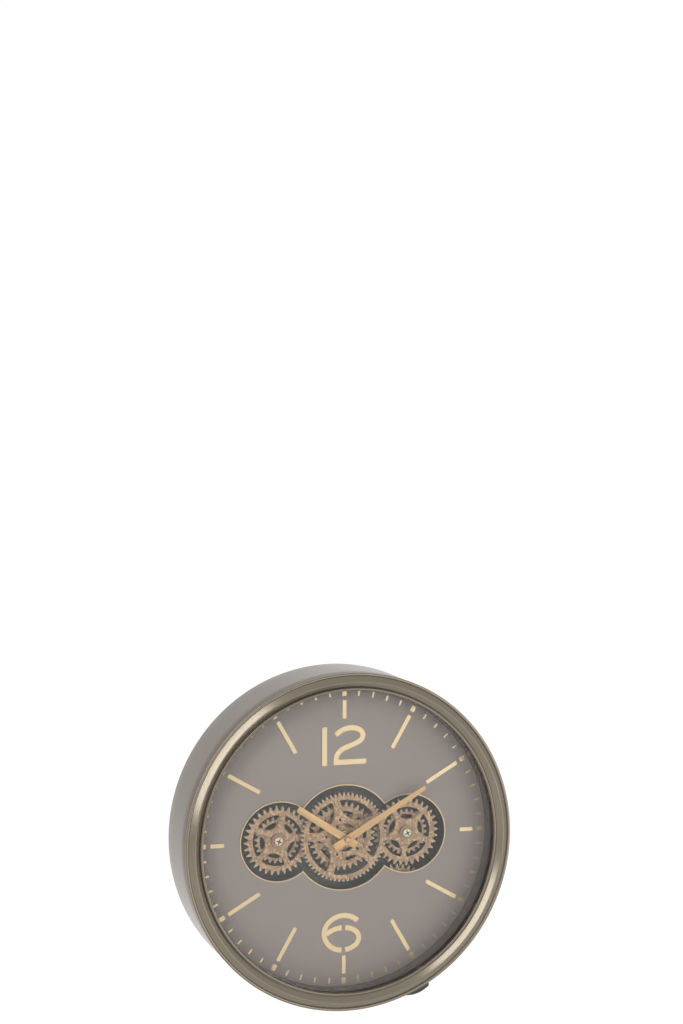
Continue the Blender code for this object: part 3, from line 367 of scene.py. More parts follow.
def arc(centre, radius, start, end, steps):
    return ellipse(centre, radius, radius, start, end, steps)


def circle(radius, centre=(0, 0), steps=48):
    return arc(centre, radius, 0, 360, steps)[:-1]


def turned_points(points, radians):
    """The points turned clockwise about the origin."""
    return [Matrix.Rotation(-radians, 2) @ point for point in points]


def rectangle(left, right, bottom, top):
    return [Vector(p) for p in ((left, bottom), (right, bottom), (right, top), (left, top))]


def rounded_box(left, right, bottom, top, corner, steps=8):
    left, right, bottom, top = left + corner, right - corner, bottom + corner, top - corner
    points = []
    for number, centre in enumerate(((right, top), (right, bottom), (left, bottom), (left, top))):
        points += arc(centre, corner, 90 * number, 90 * number + 90, steps)
    return points


def smooth_line(points, steps=8):
    """A smooth line through the points."""
    points = [Vector(point) for point in points]
    padded = [points[0] * 2 - points[1], *points, points[-1] * 2 - points[-2]]
    line = []
    for a, b, c, d in zip(padded, padded[1:], padded[2:], padded[3:]):
        for step in range(steps):
            t = step / steps
            line.append((
                b * 2 + (c - a) * t + (a * 2 - b * 5 + c * 4 - d) * t * t
                + (b * 3 - a - c * 3 + d) * t * t * t
            ) / 2)
    return line + [points[-1]]


def stroke(line, width):
    """The outline of a line drawn with a flat pen, its ends cut square."""
    left, right = [], []
    for i, point in enumerate(line):
        before, after = line[max(0, i - 1)], line[min(len(line) - 1, i + 1)]
        way = (after - before).normalized()
        side = Vector((-way.y, way.x)) * width / 2
        left.append(point + side)
        right.append(point - side)
    return left + right[::-1]


def signed_area(points):
    return sum(a.cross(b) for a, b in zip(points, points[1:] + points[:1])) / 2


def inward(points, least=0.5):
    """For each point, the step into the material that moves its two sides by one."""
    steps = []
    for i, point in enumerate(points):
        before = (point - points[i - 1]).normalized()
        after = (points[(i + 1) % len(points)] - point).normalized()
        sides = Vector((-before.y, before.x)), Vector((-after.y, after.x))
        halfway = (sides[0] + sides[1]).normalized()
        steps.append(halfway / max(least, halfway.dot(sides[0])))
    return steps


# Profiles

def stepped(bore, rear, *sections):
    """A profile from a rear depth on, through sections given as (outer radius, front depth)."""
    profile, depth = [(bore, rear)], rear
    for radius, front in sections:
        profile += [(radius, depth), (radius, front)]
        depth = front
    return profile + [(bore, depth)]


def between(rear, front, low, high):
    """A profile in millimetres, its low points from the rear and its high ones from the front."""
    ends = ((rear, low), (front, high))
    return [(radius * MM, end + depth * MM) for end, points in ends for radius, depth in points]


def softened_profile(points, edge, steps=3, share=0.45):
    """The profile with every corner off the axis rounded over the edge or a share of its sides."""
    result = []
    for i, point in enumerate(points):
        here = Vector(point)
        if here.x <= 0:
            result.append(here)
            continue
        back, onward = Vector(points[i - 1]) - here, Vector(points[(i + 1) % len(points)]) - here
        size = min(edge, back.length * share, onward.length * share)
        start, end = here + back.normalized() * size, here + onward.normalized() * size
        for t in (step / steps for step in range(steps + 1)):
            result.append(start * (1 - t) ** 2 + here * 2 * t * (1 - t) + end * t * t)
    return result


# Meshes

MERGE = 0.002 * MM
SMOOTH_ANGLE = 32
SHARP_ANGLE = 35
BEVEL = {"segments": 2, "profile": 0.5, "affect": "EDGES"}


def linked(name, data):
    found = bpy.data.objects.new(name, data)
    bpy.context.scene.collection.objects.link(found)
    return found


def smoothed(mesh, sharp=SMOOTH_ANGLE):
    mesh.shade_smooth()
    mesh.set_sharp_from_angle(angle=math.radians(sharp))
    return mesh


def add_object(name, shape, finish, sharp=SMOOTH_ANGLE, matrix=None):
    """Links the bmesh as an object, merged, facing outward and smooth but for sharp edges."""
    bmesh.ops.remove_doubles(shape, verts=shape.verts, dist=MERGE)
    bmesh.ops.recalc_face_normals(shape, faces=shape.faces)
    if matrix:
        shape.transform(matrix)
    mesh = bpy.data.meshes.new(name)
    shape.to_mesh(mesh)
    shape.free()
    mesh.materials.append(SURFACES[finish])
    return linked(name, smoothed(mesh, sharp))


def applied(found):
    """The mesh of an object with its modifiers, which are then removed."""
    bpy.context.view_layer.update()
    graph = bpy.context.evaluated_depsgraph_get()
    mesh = bpy.data.meshes.new_from_object(
        found.evaluated_get(graph), preserve_all_data_layers=True, depsgraph=graph
    )
    found.modifiers.clear()
    return mesh


def turned(profile, centre=(0, 0), steps=96):
    """The closed profile turned once round its axis."""
    shape = bmesh.new()
    rings = []
    for radius, depth in profile:
        points = circle(radius, centre, steps) if radius > 0 else [Vector(centre)]
        rings.append([shape.verts.new((x, -depth, z)) for x, z in points])
    for here, there in zip(rings, rings[1:] + rings[:1]):
        if len(here) == len(there) == 1:
            continue
        for i in range(steps):
            corners = [here[i - 1], here[i]] if len(here) > 1 else [here[0]]
            corners += [there[i], there[i - 1]] if len(there) > 1 else [there[0]]
            shape.faces.new(corners)
    return shape


def sheet(outline, holes, rear, front, centre=CLOCK, edge=0.2 * MM, steps=2):
    """A flat sheet with holes, both of its edges rounded."""
    loops = [
        list(reversed(loop)) if (signed_area(loop) < 0) == (number == 0) else list(loop)
        for number, loop in enumerate([outline, *holes])
    ]
    levels = []
    for step in range(steps + 1):
        turn = math.radians(90 * step / steps)
        levels.append((edge * (1 - math.sin(turn)), rear + edge * (1 - math.cos(turn))))
    levels += [(inset, rear + front - depth) for inset, depth in reversed(levels)]
    shape = bmesh.new()
    ends = {0: [], len(levels) - 1: []}
    for loop in loops:
        inner = inward(loop)
        rings = []
        for number, (inset, depth) in enumerate(levels):
            ring = []
            for point, step in zip(loop, inner):
                x, z = point + step * inset + Vector(centre)
                ring.append(shape.verts.new((x, -depth, z)))
            rings.append(ring)
            if number in ends:
                ends[number] += [shape.edges.new(pair) for pair in zip(ring, ring[1:] + ring[:1])]
        for here, there in zip(rings, rings[1:]):
            for i in range(len(here)):
                shape.faces.new((here[i - 1], here[i], there[i], there[i - 1]))
    for edges in ends.values():
        bmesh.ops.triangle_fill(shape, edges=edges, use_beauty=True, normal=(0, 1, 0))
    return shape


def fused_sheet(loops, rear, front, centre=CLOCK):
    """Flat loops that may overlap, fused to one sheet."""
    points, faces = [], []
    for loop in loops:
        faces.append(list(range(len(points), len(points) + len(loop))))
        points += loop if signed_area(loop) > 0 else list(reversed(loop))
    verts, _, fused = delaunay_2d_cdt(points, [], faces, 1, 0.001 * MM)[:3]
    shape = bmesh.new()
    made = [shape.verts.new((x + centre[0], -rear, z + centre[1])) for x, z in verts]
    flat = [shape.faces.new([made[i] for i in face]) for face in fused]
    raised = bmesh.ops.extrude_face_region(shape, geom=flat, use_keep_orig=True)
    moved = [item for item in raised["geom"] if isinstance(item, bmesh.types.BMVert)]
    bmesh.ops.translate(shape, verts=moved, vec=(0, rear - front, 0))
    return shape


def block(low, high, edge=0.3 * MM):
    """A box between two corners given as x, depth and z, its edges rounded."""
    shape = bmesh.new()
    bmesh.ops.create_cube(shape, size=1)
    for vert in shape.verts:
        x, depth, z = (low[i] if vert.co[i] < 0 else high[i] for i in range(3))
        vert.co = (x, -depth, z)
    bmesh.ops.bevel(shape, geom=shape.edges[:], offset=edge, **BEVEL)
    return shape


def softened(node, edge):
    """A copy of a CAD node's mesh, its triangles merged to flats and its edges rounded."""
    shape = bmesh.new()
    shape.from_mesh(frame["nodes"][node].data)
    bmesh.ops.remove_doubles(shape, verts=shape.verts, dist=MERGE)
    flat = math.radians(2)
    bmesh.ops.dissolve_limit(shape, angle_limit=flat, verts=shape.verts, edges=shape.edges)
    sharp = [
        item for item in shape.edges
        if item.is_manifold and item.calc_face_angle() > math.radians(SHARP_ANGLE)
    ]
    bmesh.ops.bevel(shape, geom=sharp, offset=edge, clamp_overlap=True, **BEVEL)
    return shape


def joined(*shapes):
    """Several bmeshes as one."""
    mesh = bpy.data.meshes.new("joined")
    result = bmesh.new()
    for shape in shapes:
        shape.to_mesh(mesh)
        shape.free()
        result.from_mesh(mesh)
    bpy.data.meshes.remove(mesh)
    return result


def grown(kind, fill, values):
    """The bmesh that the Geometry Nodes tree of this kind makes from these values."""
    if kind not in bpy.data.node_groups:
        fill(Shape(kind, values))
    tree = bpy.data.node_groups[kind]
    carrier = linked(kind, bpy.data.meshes.new(kind))
    modifier = carrier.modifiers.new("shape", "NODES")
    modifier.node_group = tree
    for item in tree.interface.items_tree:
        if item.item_type == "SOCKET" and item.in_out == "INPUT":
            modifier[item.identifier] = values[item.name]
    mesh = applied(carrier)
    bpy.data.objects.remove(carrier)
    shape = bmesh.new()
    shape.from_mesh(mesh)
    bpy.data.meshes.remove(mesh)
    return shape


# Geometry Nodes trees

TOOTH_SAMPLES = 14
WINDOW_SAMPLES = 40
BORE_SAMPLES = 40
HOLE_SAMPLES = 20


def curve(tree, samples, x, y):
    """A closed curve whose points lie at this x and y, which follow from their index."""
    ring = tree.add("GeometryNodeCurvePrimitiveCircle", None, {"Resolution": samples})
    return tree.moved(ring, Position=tree.combine(x, y, 0.0))


def lens(tree, kind):
    """A window between two spokes: an arc round the hub, and one that bulges towards it."""
    outer, dip, half_angle = (tree[f"{kind} {size}"] for size in ("Radius", "Dip", "Half Angle"))
    index = tree.add("GeometryNodeInputIndex")
    chord, sagitta = outer * half_angle.sin(), outer * half_angle.cos() - dip
    bend = (chord * chord + sagitta * sagitta) / (sagitta * 2)
    sweep = chord.arctan2(bend - sagitta)
    half = WINDOW_SAMPLES // 2
    share = (index % half) / half
    rim_turn, dip_turn = half_angle * (1 - share * 2), sweep * (share * 2 - 1)
    first = index < half
    x = first * outer * rim_turn.sin() + (1 - first) * bend * dip_turn.sin()
    y = first * outer * rim_turn.cos() + (1 - first) * (dip + bend - bend * dip_turn.cos())
    return curve(tree, WINDOW_SAMPLES, x, y)


def round_hole(tree, radius, samples, away):
    """A round hole this far from the wheel's axis."""
    turn = tree.add("GeometryNodeInputIndex") * (FULL_TURN / samples)
    return curve(tree, samples, radius * turn.cos(), radius * turn.sin() + away)


def round_wheel(tree, outline, copies, shift):
    """So many copies of a curve, one for each spoke and turned on from it by a share of a step."""
    index = tree.add("GeometryNodeInputIndex")
    turn = tree["Spoke Angle"] + (index + shift) * FULL_TURN / tree["Spokes"]
    return tree.add("GeometryNodeRealizeInstances", None, {
        "Geometry": tree.add("GeometryNodeInstanceOnPoints", None, {
            "Points": tree.add("GeometryNodePoints", None, {"Count": copies}),
            "Instance": outline,
            "Rotation": tree.combine(0.0, 0.0, turn * -1),
        }),
    })


def tooth_outline(tree, teeth, tip, root):
    """A toothed circle: flat tips and roots joined by straight flanks."""
    index = tree.add("GeometryNodeInputIndex")
    along = abs((index / TOOTH_SAMPLES + 0.5) % 1.0 - 0.5)
    base_half = tree["Tooth Base"] * teeth / (root * 2 * FULL_TURN)
    tip_half = tree["Tooth Tip"] * teeth / (tip * 2 * FULL_TURN)
    flank = ((along - tip_half) / (base_half - tip_half)).largest(0.0).smallest(1.0)
    radius = tip - (tip - root) * flank
    turn = tree["Tooth Angle"] + index * (FULL_TURN / TOOTH_SAMPLES) / teeth
    return curve(tree, teeth * TOOTH_SAMPLES, radius * turn.sin(), radius * turn.cos())


def fill_wheel(tree):
    """A spoked wheel: a toothed edge, lens windows between the spokes and a bore.

    Eyes are smaller windows nearer the hub, each with a hole at the foot of the spoke beside it.
    """
    teeth, tip, root = tree["Teeth"], tree["Tip Radius"], tree["Root Radius"]
    loops = tree.joined(
        tooth_outline(tree, teeth, tip, root),
        round_wheel(tree, lens(tree, "Window"), tree["Spokes"], 0.5),
        round_wheel(tree, lens(tree, "Eye"), tree["Eyes"], 0.5),
        round_wheel(
            tree, round_hole(tree, tree["Hole Radius"], HOLE_SAMPLES, tree["Hole Place"]),
            tree["Eyes"], 0.0,
        ),
        round_hole(tree, tree["Bore Radius"], BORE_SAMPLES, 0.0),
    )
    tangent = tree.add("GeometryNodeInputTangent")
    step = tree.vector("CROSS_PRODUCT", {0: tangent, 1: (0, 0, 1)})
    loops = tree.stored(loops, "inward", "FLOAT_VECTOR", step)
    inward_step = tree.add(
        "GeometryNodeInputNamedAttribute", {"data_type": "FLOAT_VECTOR"}, {"Name": "inward"}
    )
    edge, thickness = tree["Edge"], tree["Thickness"]
    inset = tree.vector("SCALE", {"Vector": inward_step, "Scale": edge})
    outset = tree.vector("SCALE", {"Vector": inward_step, "Scale": edge * -1})
    small_loops = tree.moved(loops, Offset=inset)
    wall = tree.add("GeometryNodeCurveToMesh", None, {"Curve": small_loops})
    selection = {}
    for height, shift in ((edge, outset), (thickness - edge * 2, None), (edge, inset)):
        values = {"Mesh": wall, "Offset": (0, 0, 1), "Offset Scale": height, **selection}
        wall = tree.add("GeometryNodeExtrudeMesh", {"mode": "EDGES"}, values)
        selection = {"Selection": Wire(tree, wall.socket.node.outputs["Top"])}
        if shift:
            wall = tree.moved(wall, Offset=shift, **selection)
    flat = tree.add("GeometryNodeFillCurve", None, {"Curve": small_loops})
    lifted = tree.moved(flat, Offset=tree.combine(0.0, 0.0, thickness))
    values = {"Geometry": tree.joined(wall, flat, lifted), "Distance": MERGE}
    solid = tree.add("GeometryNodeMergeByDistance", None, values)
    away = tree.vector("LENGTH", {0: tree.add("GeometryNodeInputPosition")}, "Value")
    wear = tree.eased(away, root - (tip - root) * 0.3, tip)
    solid = tree.stored(solid, "wear", "FLOAT", wear)
    values = {"Geometry": solid, "Name": "inward"}
    solid = tree.add("GeometryNodeRemoveAttribute", None, values)
    tree.finish(tree.add("GeometryNodeTransform", None, {
        "Geometry": solid, "Rotation": (math.pi / 2, 0, 0), "Translation": tree["Place"],
    }))


def fill_ring(tree):
    """Copies of one part at equal steps round a circle, every so many of them left out."""
    number, skip, radius = tree.add("GeometryNodeInputIndex"), tree["Skip Every"], tree["Radius"]
    turn = tree["Start Angle"] + number * FULL_TURN / tree["Count"]
    copies = tree.add("GeometryNodeInstanceOnPoints", None, {
        "Points": tree.add("GeometryNodePoints", None, {
            "Count": tree["Count"],
            "Position": tree.combine(radius * turn.sin(), 0.0, radius * turn.cos()),
        }),
        "Selection": ((number % skip.largest(1)) > 0.5).largest(skip < 0.5),
        "Instance": tree.add("GeometryNodeObjectInfo", None, {"Object": tree["Part"]}, "Geometry"),
        "Rotation": tree.combine(0.0, turn, 0.0),
    })
    values = {"Geometry": copies, "Translation": tree["Place"]}
    tree.finish(tree.add("GeometryNodeTransform", None, values))


def ring_of(part_shape, copies, finish, radius=0.0, skip=0, start=0, centre=CLOCK):
    """The bmesh of a ring of copies. The part stands at 12 o'clock, in depths from the wall."""
    part = add_object("pattern", part_shape, finish)
    shape = grown("ring_of_parts", fill_ring, {
        "Part": part, "Count": copies, "Skip Every": skip, "Radius": radius,
        "Start Angle": math.radians(start), "Place": (centre[0], 0, centre[1]),
        "Surface": SURFACES[finish],
    })
    bpy.data.objects.remove(part)
    return shape


# Finishes

def times(shade, factor):
    """The colour made lighter or darker."""
    return tuple(min(1, part * factor) for part in shade)


def streaks(surface, across, along):
    """Noise drawn out round the hands' axis, across it and along it in lines to the metre."""
    turn, y, radius = surface.parts()
    vector = surface.combine(turn * along, y * across, radius * across)
    return surface.noise(1.0, 4.0, 0.6, vector)


def drum_metal(shade):
    """Brushed metal under clear lacquer, faintly clouded."""
    surface = Surface("drum_metal")
    lines = streaks(surface, 900, 9)
    factor = lines * 0.5 + surface.noise(14) * 0.5
    surface.finish(
        Base_Color=surface.blend(factor, times(shade, 0.7), times(shade, 1.35)),
        Metallic=0.9,
        Roughness=0.18 + lines * 0.1,
        Normal=surface.bump(lines, 0.01 * MM, 0.5),
    )


def bezel_metal(shade, front):
    """Aged metal with a fine grain, and painted shade in the groove and over the bead."""
    surface = Surface("bezel_metal")
    _, y, radius = surface.parts()
    lines = streaks(surface, 700, 14)
    grain = surface.noise(1100, 2.0, 0.7)
    factor = lines * 0.35 + grain * 0.35 + surface.noise(22, 4.0, 0.6) * 0.3
    metal = surface.blend(factor, times(shade, 0.75), times(shade, 1.3))
    # Painted shade in the groove: low on the ridge's foot and inside 166.8 mm, the metal darkens
    # towards a quarter of its colour
    low = 1 - surface.eased(y * -1, front - 4.9 * MM, front - 4.0 * MM)
    groove_shade = low * (1 - surface.eased(radius, *mm(165.2, 166.8))) * 0.35
    # Painted shade over the bead and the opening, inside 164.9 mm
    inside = (1 - surface.eased(radius, *mm(163.6, 164.9))) * 0.2
    surface.finish(
        Base_Color=surface.blend(groove_shade.largest(inside), metal, times(shade, 0.25)),
        Metallic=0.92,
        Roughness=0.17 + grain * 0.12,
        Normal=surface.bump(grain * 0.5 + lines * 0.5, 0.012 * MM, 0.5),
    )


def paint(name, shade, roughness, variation, scale, metallic=0.0, grain=0.015 * MM):
    """A plain coat: faint clouds in its colour and a fine orange-peel grain."""
    surface = Surface(name)
    clouds, fine = surface.noise(scale), surface.noise(1500, 2.0)
    surface.finish(
        Base_Color=surface.blend(clouds, times(shade, 1 - variation), times(shade, 1 + variation)),
        Metallic=metallic,
        Roughness=roughness - 0.05 + fine * 0.1,
        Normal=surface.bump(fine, grain, 0.4),
    )


def aged_copper(wheels):
    """Stamped copper with brown and olive patches, bright on worn teeth; painted shade further
    back.
    """
    surface = Surface("aged_copper")
    clouds = surface.noise(180, 5.0, 0.65, distortion=0.6)
    patches, specks = surface.noise(380, 4.0, 0.7), surface.noise(800, 3.0, 0.7)
    shade = surface.blend(surface.eased(clouds, 0.40, 0.58), wheels.copper, wheels.light_copper)
    shade = surface.blend(surface.eased(patches, 0.47, 0.58) * 0.85, shade, wheels.olive)
    shade = surface.blend(surface.eased(specks, 0.52, 0.64) * 0.8, shade, wheels.brown)
    wear = surface.add("ShaderNodeAttribute", {"attribute_name": "wear"}, None, "Fac")
    bright = wear * surface.eased(surface.noise(400, 2.0), 0.35, 0.6) * 0.8
    shade = surface.blend(bright, shade, (0.66, 0.56, 0.45))
    # Painted shade: wheels less than 47.6 mm from the wall darken by a fifth towards near black,
    # as shade between the layers
    behind = 1 - surface.eased(surface.parts()[1] * -1, *mm(47.6, 49.2))
    surface.finish(
        Base_Color=surface.blend(behind * 0.2, shade, (0.03, 0.024, 0.018)),
        Metallic=0.3,
        Roughness=0.42 + patches * 0.2,
        Normal=surface.bump(specks * 0.5 + patches * 0.5, 0.12 * MM, 0.6),
    )


def clear_glass():
    """Glass that is all but unseen from the front and reflects at a slant."""
    surface = Surface("clear_glass")
    facing = surface.add("ShaderNodeLayerWeight", None, {"Blend": 0.25}, "Fresnel")
    surface.finish(
        Base_Color=(0.95, 0.98, 0.97),
        Roughness=0.03 + surface.noise(25, 2.0) * 0.03,
        Alpha=(0.03 + facing * 0.35).largest(0.0).smallest(1.0),
        Specular_IOR_Level=0.6,
    )


def make_finishes(scene):
    """Every finish. A paint's numbers are its roughness, variation, cloud scale and metal."""
    dial, hands = scene.clock_dial, scene.clock_hands
    drum_metal(scene.clock_case.drum_colour)
    bezel_metal(scene.clock_case.bezel_colour, span("bezel")[1])
    aged_copper(scene.clock_wheels)
    clear_glass()
    paint("dial_paint", dial.dial_colour, 0.62, 0.03, 12)
    paint("ring_paint", dial.ring_colour, 0.2, 0.03, 30, 0.3, grain=0.0005 * MM)
    paint("mark_gilt", dial.mark_colour, 0.34, 0.06, 60, 0.85)
    paint("hand_gilt", hands.gilt_colour, 0.36, 0.1, 90, 0.45)
    paint("cap_gilt", hands.cap_colour, 0.34, 0.08, 90, 0.3)
    paint("plate_paint", scene.clock_works.plate_colour, 0.5, 0.12, 30, grain=0.004 * MM)
    paint("zinc", (0.50, 0.49, 0.44), 0.36, 0.12, 120, 0.75)
    paint("cream_steel", (0.82, 0.67, 0.49), 0.35, 0.12, 200, 0.4)
    paint("green_steel", (0.72, 0.77, 0.56), 0.33, 0.12, 200, 0.4)
    # Near-black coat that stands for shade: painted shade in the screws' cross recesses and round
    # the cap's foot
    paint("painted_shade_coat", (0.10, 0.09, 0.055), 0.6, 0.2, 200)
    paint("dull_bronze", (0.30, 0.20, 0.12), 0.45, 0.3, 250, 0.3)
    paint("brass", (0.50, 0.36, 0.17), 0.36, 0.12, 80, 0.8)
    paint("black_plastic", (0.038, 0.035, 0.031), 0.45, 0.1, 40, grain=0.05 * MM)
    paint("white_plastic", (0.72, 0.72, 0.68), 0.42, 0.03, 40, grain=0.03 * MM)
    paint("cell_sleeve", (0.035, 0.04, 0.055), 0.25, 0.05, 40)
    paint("cell_band", (0.60, 0.34, 0.16), 0.28, 0.05, 40, 0.6)
    paint("back_paint", (0.035, 0.035, 0.035), 0.55, 0.12, 25, grain=0.05 * MM)
    paint("rubber", (0.03, 0.03, 0.03), 0.75, 0.1, 60, grain=0.08 * MM)


# Stage

def aim(found, spot, away, up):
    """Puts an object here, its Z axis along one direction and its Y axis as near up as can be."""
    across = up.cross(away).normalized()
    turn = Matrix((across, away.cross(across), away)).transposed().to_4x4()
    found.matrix_world = Matrix.Translation(spot) @ turn


def make_stage(stage):
    scene = bpy.context.scene
    scene.view_settings.view_transform = "Standard"
    data = bpy.data.cameras.new("camera")
    data.sensor_fit, data.sensor_height, data.sensor_width = "VERTICAL", 36, 24
    data.lens = stage.lens
    scene.camera = linked("camera", data)
    away = -Vector(stage.camera_look).normalized()
    aim(scene.camera, stage.camera_place, away, Vector(stage.camera_up).normalized())
    centre = Vector((CLOCK.x, -0.05, CLOCK.y))
    for name, spot, size, power in (
        ("key_light", (1.35, -1.55, -0.75), (2.4, 2.4), stage.key_power),
        ("fill_light", (-1.38, -1.59, 0.86), (2.1, 0.5), stage.fill_power),
    ):
        data = bpy.data.lights.new(name, "AREA")
        data.shape = "RECTANGLE"
        data.size, data.size_y = size
        data.energy = power
        aim(linked(name, data), spot, (Vector(spot) - centre).normalized(), Vector((0, -1, 0)))
    make_world(stage.ambient)
    make_floor(stage)


def seen_directly(tree):
    """One for the rays that meet the camera, a mirror or clear glass first, else nought."""
    path = tree.nodes.nodes.new("ShaderNodeLightPath")
    rays = ("Is Camera Ray", "Is Glossy Ray", "Is Transmission Ray")
    camera, glossy, clear = (Wire(tree, path.outputs[name]) for name in rays)
    return camera.largest(glossy).largest(clear)


def make_world(ambient):
    """Even light on the clock, and plain white where a ray sees the surroundings directly."""
    world = bpy.context.scene.world = bpy.data.worlds.new("studio")
    world.use_nodes = True
    tree = Tree(world.node_tree)
    even, white = (
        tree.add("ShaderNodeBackground", None, {"Color": (1, 1, 1), "Strength": strength})
        for strength in (ambient, 1.0)
    )
    mixed = tree.add("ShaderNodeMixShader", None, {0: seen_directly(tree), 1: even, 2: white})
    tree.add("ShaderNodeOutputWorld", None, {"Surface": mixed})


def make_floor(stage):
    """A pale matt floor, lifted to white where a ray sees it directly."""
    found = SURFACES["floor_white"] = bpy.data.materials.new("floor_white")
    found.use_nodes = True
    tree = Tree(found.node_tree)
    matt = tree.add("ShaderNodeBsdfDiffuse", None, {"Color": (0.86, 0.86, 0.86)})
    values = {"Color": (1, 1, 1), "Strength": seen_directly(tree) * 0.5}
    glow = tree.add("ShaderNodeEmission", None, values)
    both = tree.add("ShaderNodeAddShader", None, {0: matt, 1: glow})
    tree.add("ShaderNodeOutputMaterial", None, {"Surface": both})
    half, height = stage.floor_side / 2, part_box("bezel")[0].z - stage.floor_drop
    shape = bmesh.new()
    corners = rectangle(-half, half, -half, half)
    shape.faces.new([shape.verts.new((x, y, height)) for x, y in corners])
    add_object("floor", shape, "floor_white")


# Pieces


def dress(found, finish, *nodes, body=None):
    """The piece stands for these CAD nodes, which it hides, and rides on their body; its finish is
    not used.
    """
    if nodes:
        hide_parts(*nodes)
    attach(found, body or BODY_OF[nodes[0]])


def piece(name, shape, finish, *nodes, body=None):
    dress(add_object(name, shape, finish), finish, *nodes, body=body)


def lathe(name, node, finish, profile, edge=0.3 * MM, centre=None, steps=48):
    """A piece turned on its node's axis or another, its corners rounded over the edge."""
    profile = softened_profile(profile, edge) if edge else profile
    piece(name, turned(profile, middle(node) if centre is None else centre, steps), finish, node)


def make_case(case):
    """The drum, a sheet turned in at both ends, with the tabs that carry the dial."""
    rear, front = span("case_drum")
    radius, thick, bend = reach("case_drum"), case.sheet, case.rear_bend
    bend_centre = (radius - bend, rear + bend)
    rear_lip, front_lip = radius - case.rear_flange, radius - case.front_flange
    edge, corner = 0.3 * MM, 0.5 * MM
    profile = [(rear_lip, rear + edge), (rear_lip + edge, rear)]
    profile += arc(bend_centre, bend, 180, 90, 10)
    profile += [(radius, rear + (front - rear) * i / 4) for i in range(1, 4)]
    profile += [
        (radius, front - corner), (radius - edge / 2, front - edge / 2), (radius - corner, front),
        (front_lip, front), (front_lip, front - thick), (radius - thick, front - thick),
    ]
    profile += arc(bend_centre, bend - thick, 90, 180, 10)
    profile.append((rear_lip, rear + thick))
    tab_rear = span("dial")[0] - PLAY - thick
    tab = block(
        (-case.tab_width / 2, tab_rear, radius - case.tab_reach),
        (case.tab_width / 2, tab_rear + thick, radius - thick + 0.2 * MM),
    )
    drum = joined(turned(profile, CLOCK, 256), ring_of(tab, 4, "drum_metal", start=45))
    piece("drum_shell", drum, "drum_metal", "case_drum")
    make_bezel(case)
    lathe("glass_disc", "glass", "clear_glass",
          stepped(0, span("glass")[0], (reach("glass"), span("glass")[1])), 0.4 * MM, CLOCK, 192)


def slope(across):
    """How far a ridge falls off from its rounded crest, on two slightly bulging slopes."""
    crown, bulge = 0.06, 0.06
    return (1 - bulge) * (math.hypot(crown, across) - crown) + bulge * across * across


def make_bezel(case):
    """The turned ring: rim, ridge, groove and bead, and the spigot that drops into the drum."""
    rear, crest = span("bezel")
    seat, radius = rear + case.lip, reach("bezel")
    base, rim_base = crest - case.ridge_height, crest - case.outer_fall
    ridge_outer = radius - case.step
    peak = ridge_outer - case.outer_slope
    bead_outer = ridge_outer - case.ridge_width - case.groove
    opening = bead_outer - case.bead_width
    rim_half, bead_half = (case.step - case.groove) / 2, case.bead_width / 2
    edge, dip = 0.3 * MM, 0.1 * MM
    profile = [(radius - edge, seat), (radius, seat + edge)]
    profile += ellipse((radius - rim_half, rim_base), rim_half, case.rim, 90, -90, 10)
    profile.append((ridge_outer + case.groove / 2, rim_base - 1.5 * dip))
    for across in (1 - i / 20 for i in range(41)):
        width = case.outer_slope if across > 0 else case.ridge_width - case.outer_slope
        fall = case.outer_fall if across > 0 else case.ridge_height
        profile.append((peak + width * across, crest - fall * slope(across) / slope(1)))
    profile.append((bead_outer + dip, base - dip))
    profile += ellipse((bead_outer - bead_half, base), bead_half, case.bead_height, 90, -90, 14)
    profile += [
        (opening, rear + 2 * dip), (opening + 2 * dip, rear), (case.spigot, rear),
        (case.spigot, seat),
    ]
    found = add_object("bezel_ring", turned(profile, CLOCK, 320), "bezel_metal", sharp=50)
    dress(found, "bezel_metal", "bezel")


def window_outline(dial, grow=0.0, steps=72):
    """The middle circle joined with the two side circles."""
    middle_radius, side_radius = dial.centre_window + grow, dial.side_window + grow
    apart = dial.centres
    neck_x = (apart**2 + middle_radius**2 - side_radius**2) / (2 * apart)
    neck = math.degrees(math.asin(neck_x / middle_radius))
    side = math.degrees(math.acos((apart - neck_x) / side_radius))
    right = arc((apart, 0), side_radius, side - 90, 270 - side, steps)
    left = arc((-apart, 0), side_radius, 90 + side, 450 - side, steps)
    top = arc((0, 0), middle_radius, -neck, neck, steps // 2)[1:-1]
    bottom = arc((0, 0), middle_radius, 180 - neck, 180 + neck, steps // 2)[1:-1]
    return top + right + bottom + left


def make_dial(dial):
    rear, front = span("dial")
    window = window_outline(dial)
    face = sheet(circle(reach("dial"), steps=192), [window], rear, front, edge=0.1 * MM)
    piece("dial_face", face, "dial_paint", "dial")
    edge = sheet(window_outline(dial, dial.trim), [window], front, span("window_trim")[1])
    piece("window_edge", edge, "mark_gilt", "window_trim")
    ring_front, radius, wall = span("dial_ring")[1], reach("dial_ring"), dial.ring_wall
    opening, ring_rear = radius - dial.ring_width, front + 0.02 * MM
    profile = [
        (opening, ring_rear), (opening + wall, ring_rear), (opening + wall, ring_front - wall),
        (radius, ring_front - wall), (radius, ring_front), (opening, ring_front),
    ]
    lathe("dial_wall", "dial_ring", "ring_paint", profile, centre=CLOCK, steps=256)
    make_marks("hour_bars", dial, dial.bar_height, (
        (12, dial.bar_width, 0.7303, 1, 3, 0),
        (2, dial.bar_width, 0.865, 1, 0, 0),
        (2, dial.bar_width, 0.894, 0.996, 0, 90),
    ))
    make_marks("minute_ticks", dial, dial.tick_height, (
        (60, dial.tick_width, 1.030, 1.070, 5, 0),
        (12, dial.block_width, 1.029, 1.074, 0, 0),
    ))
    make_numerals(dial)


SUNK = 0.05 * MM


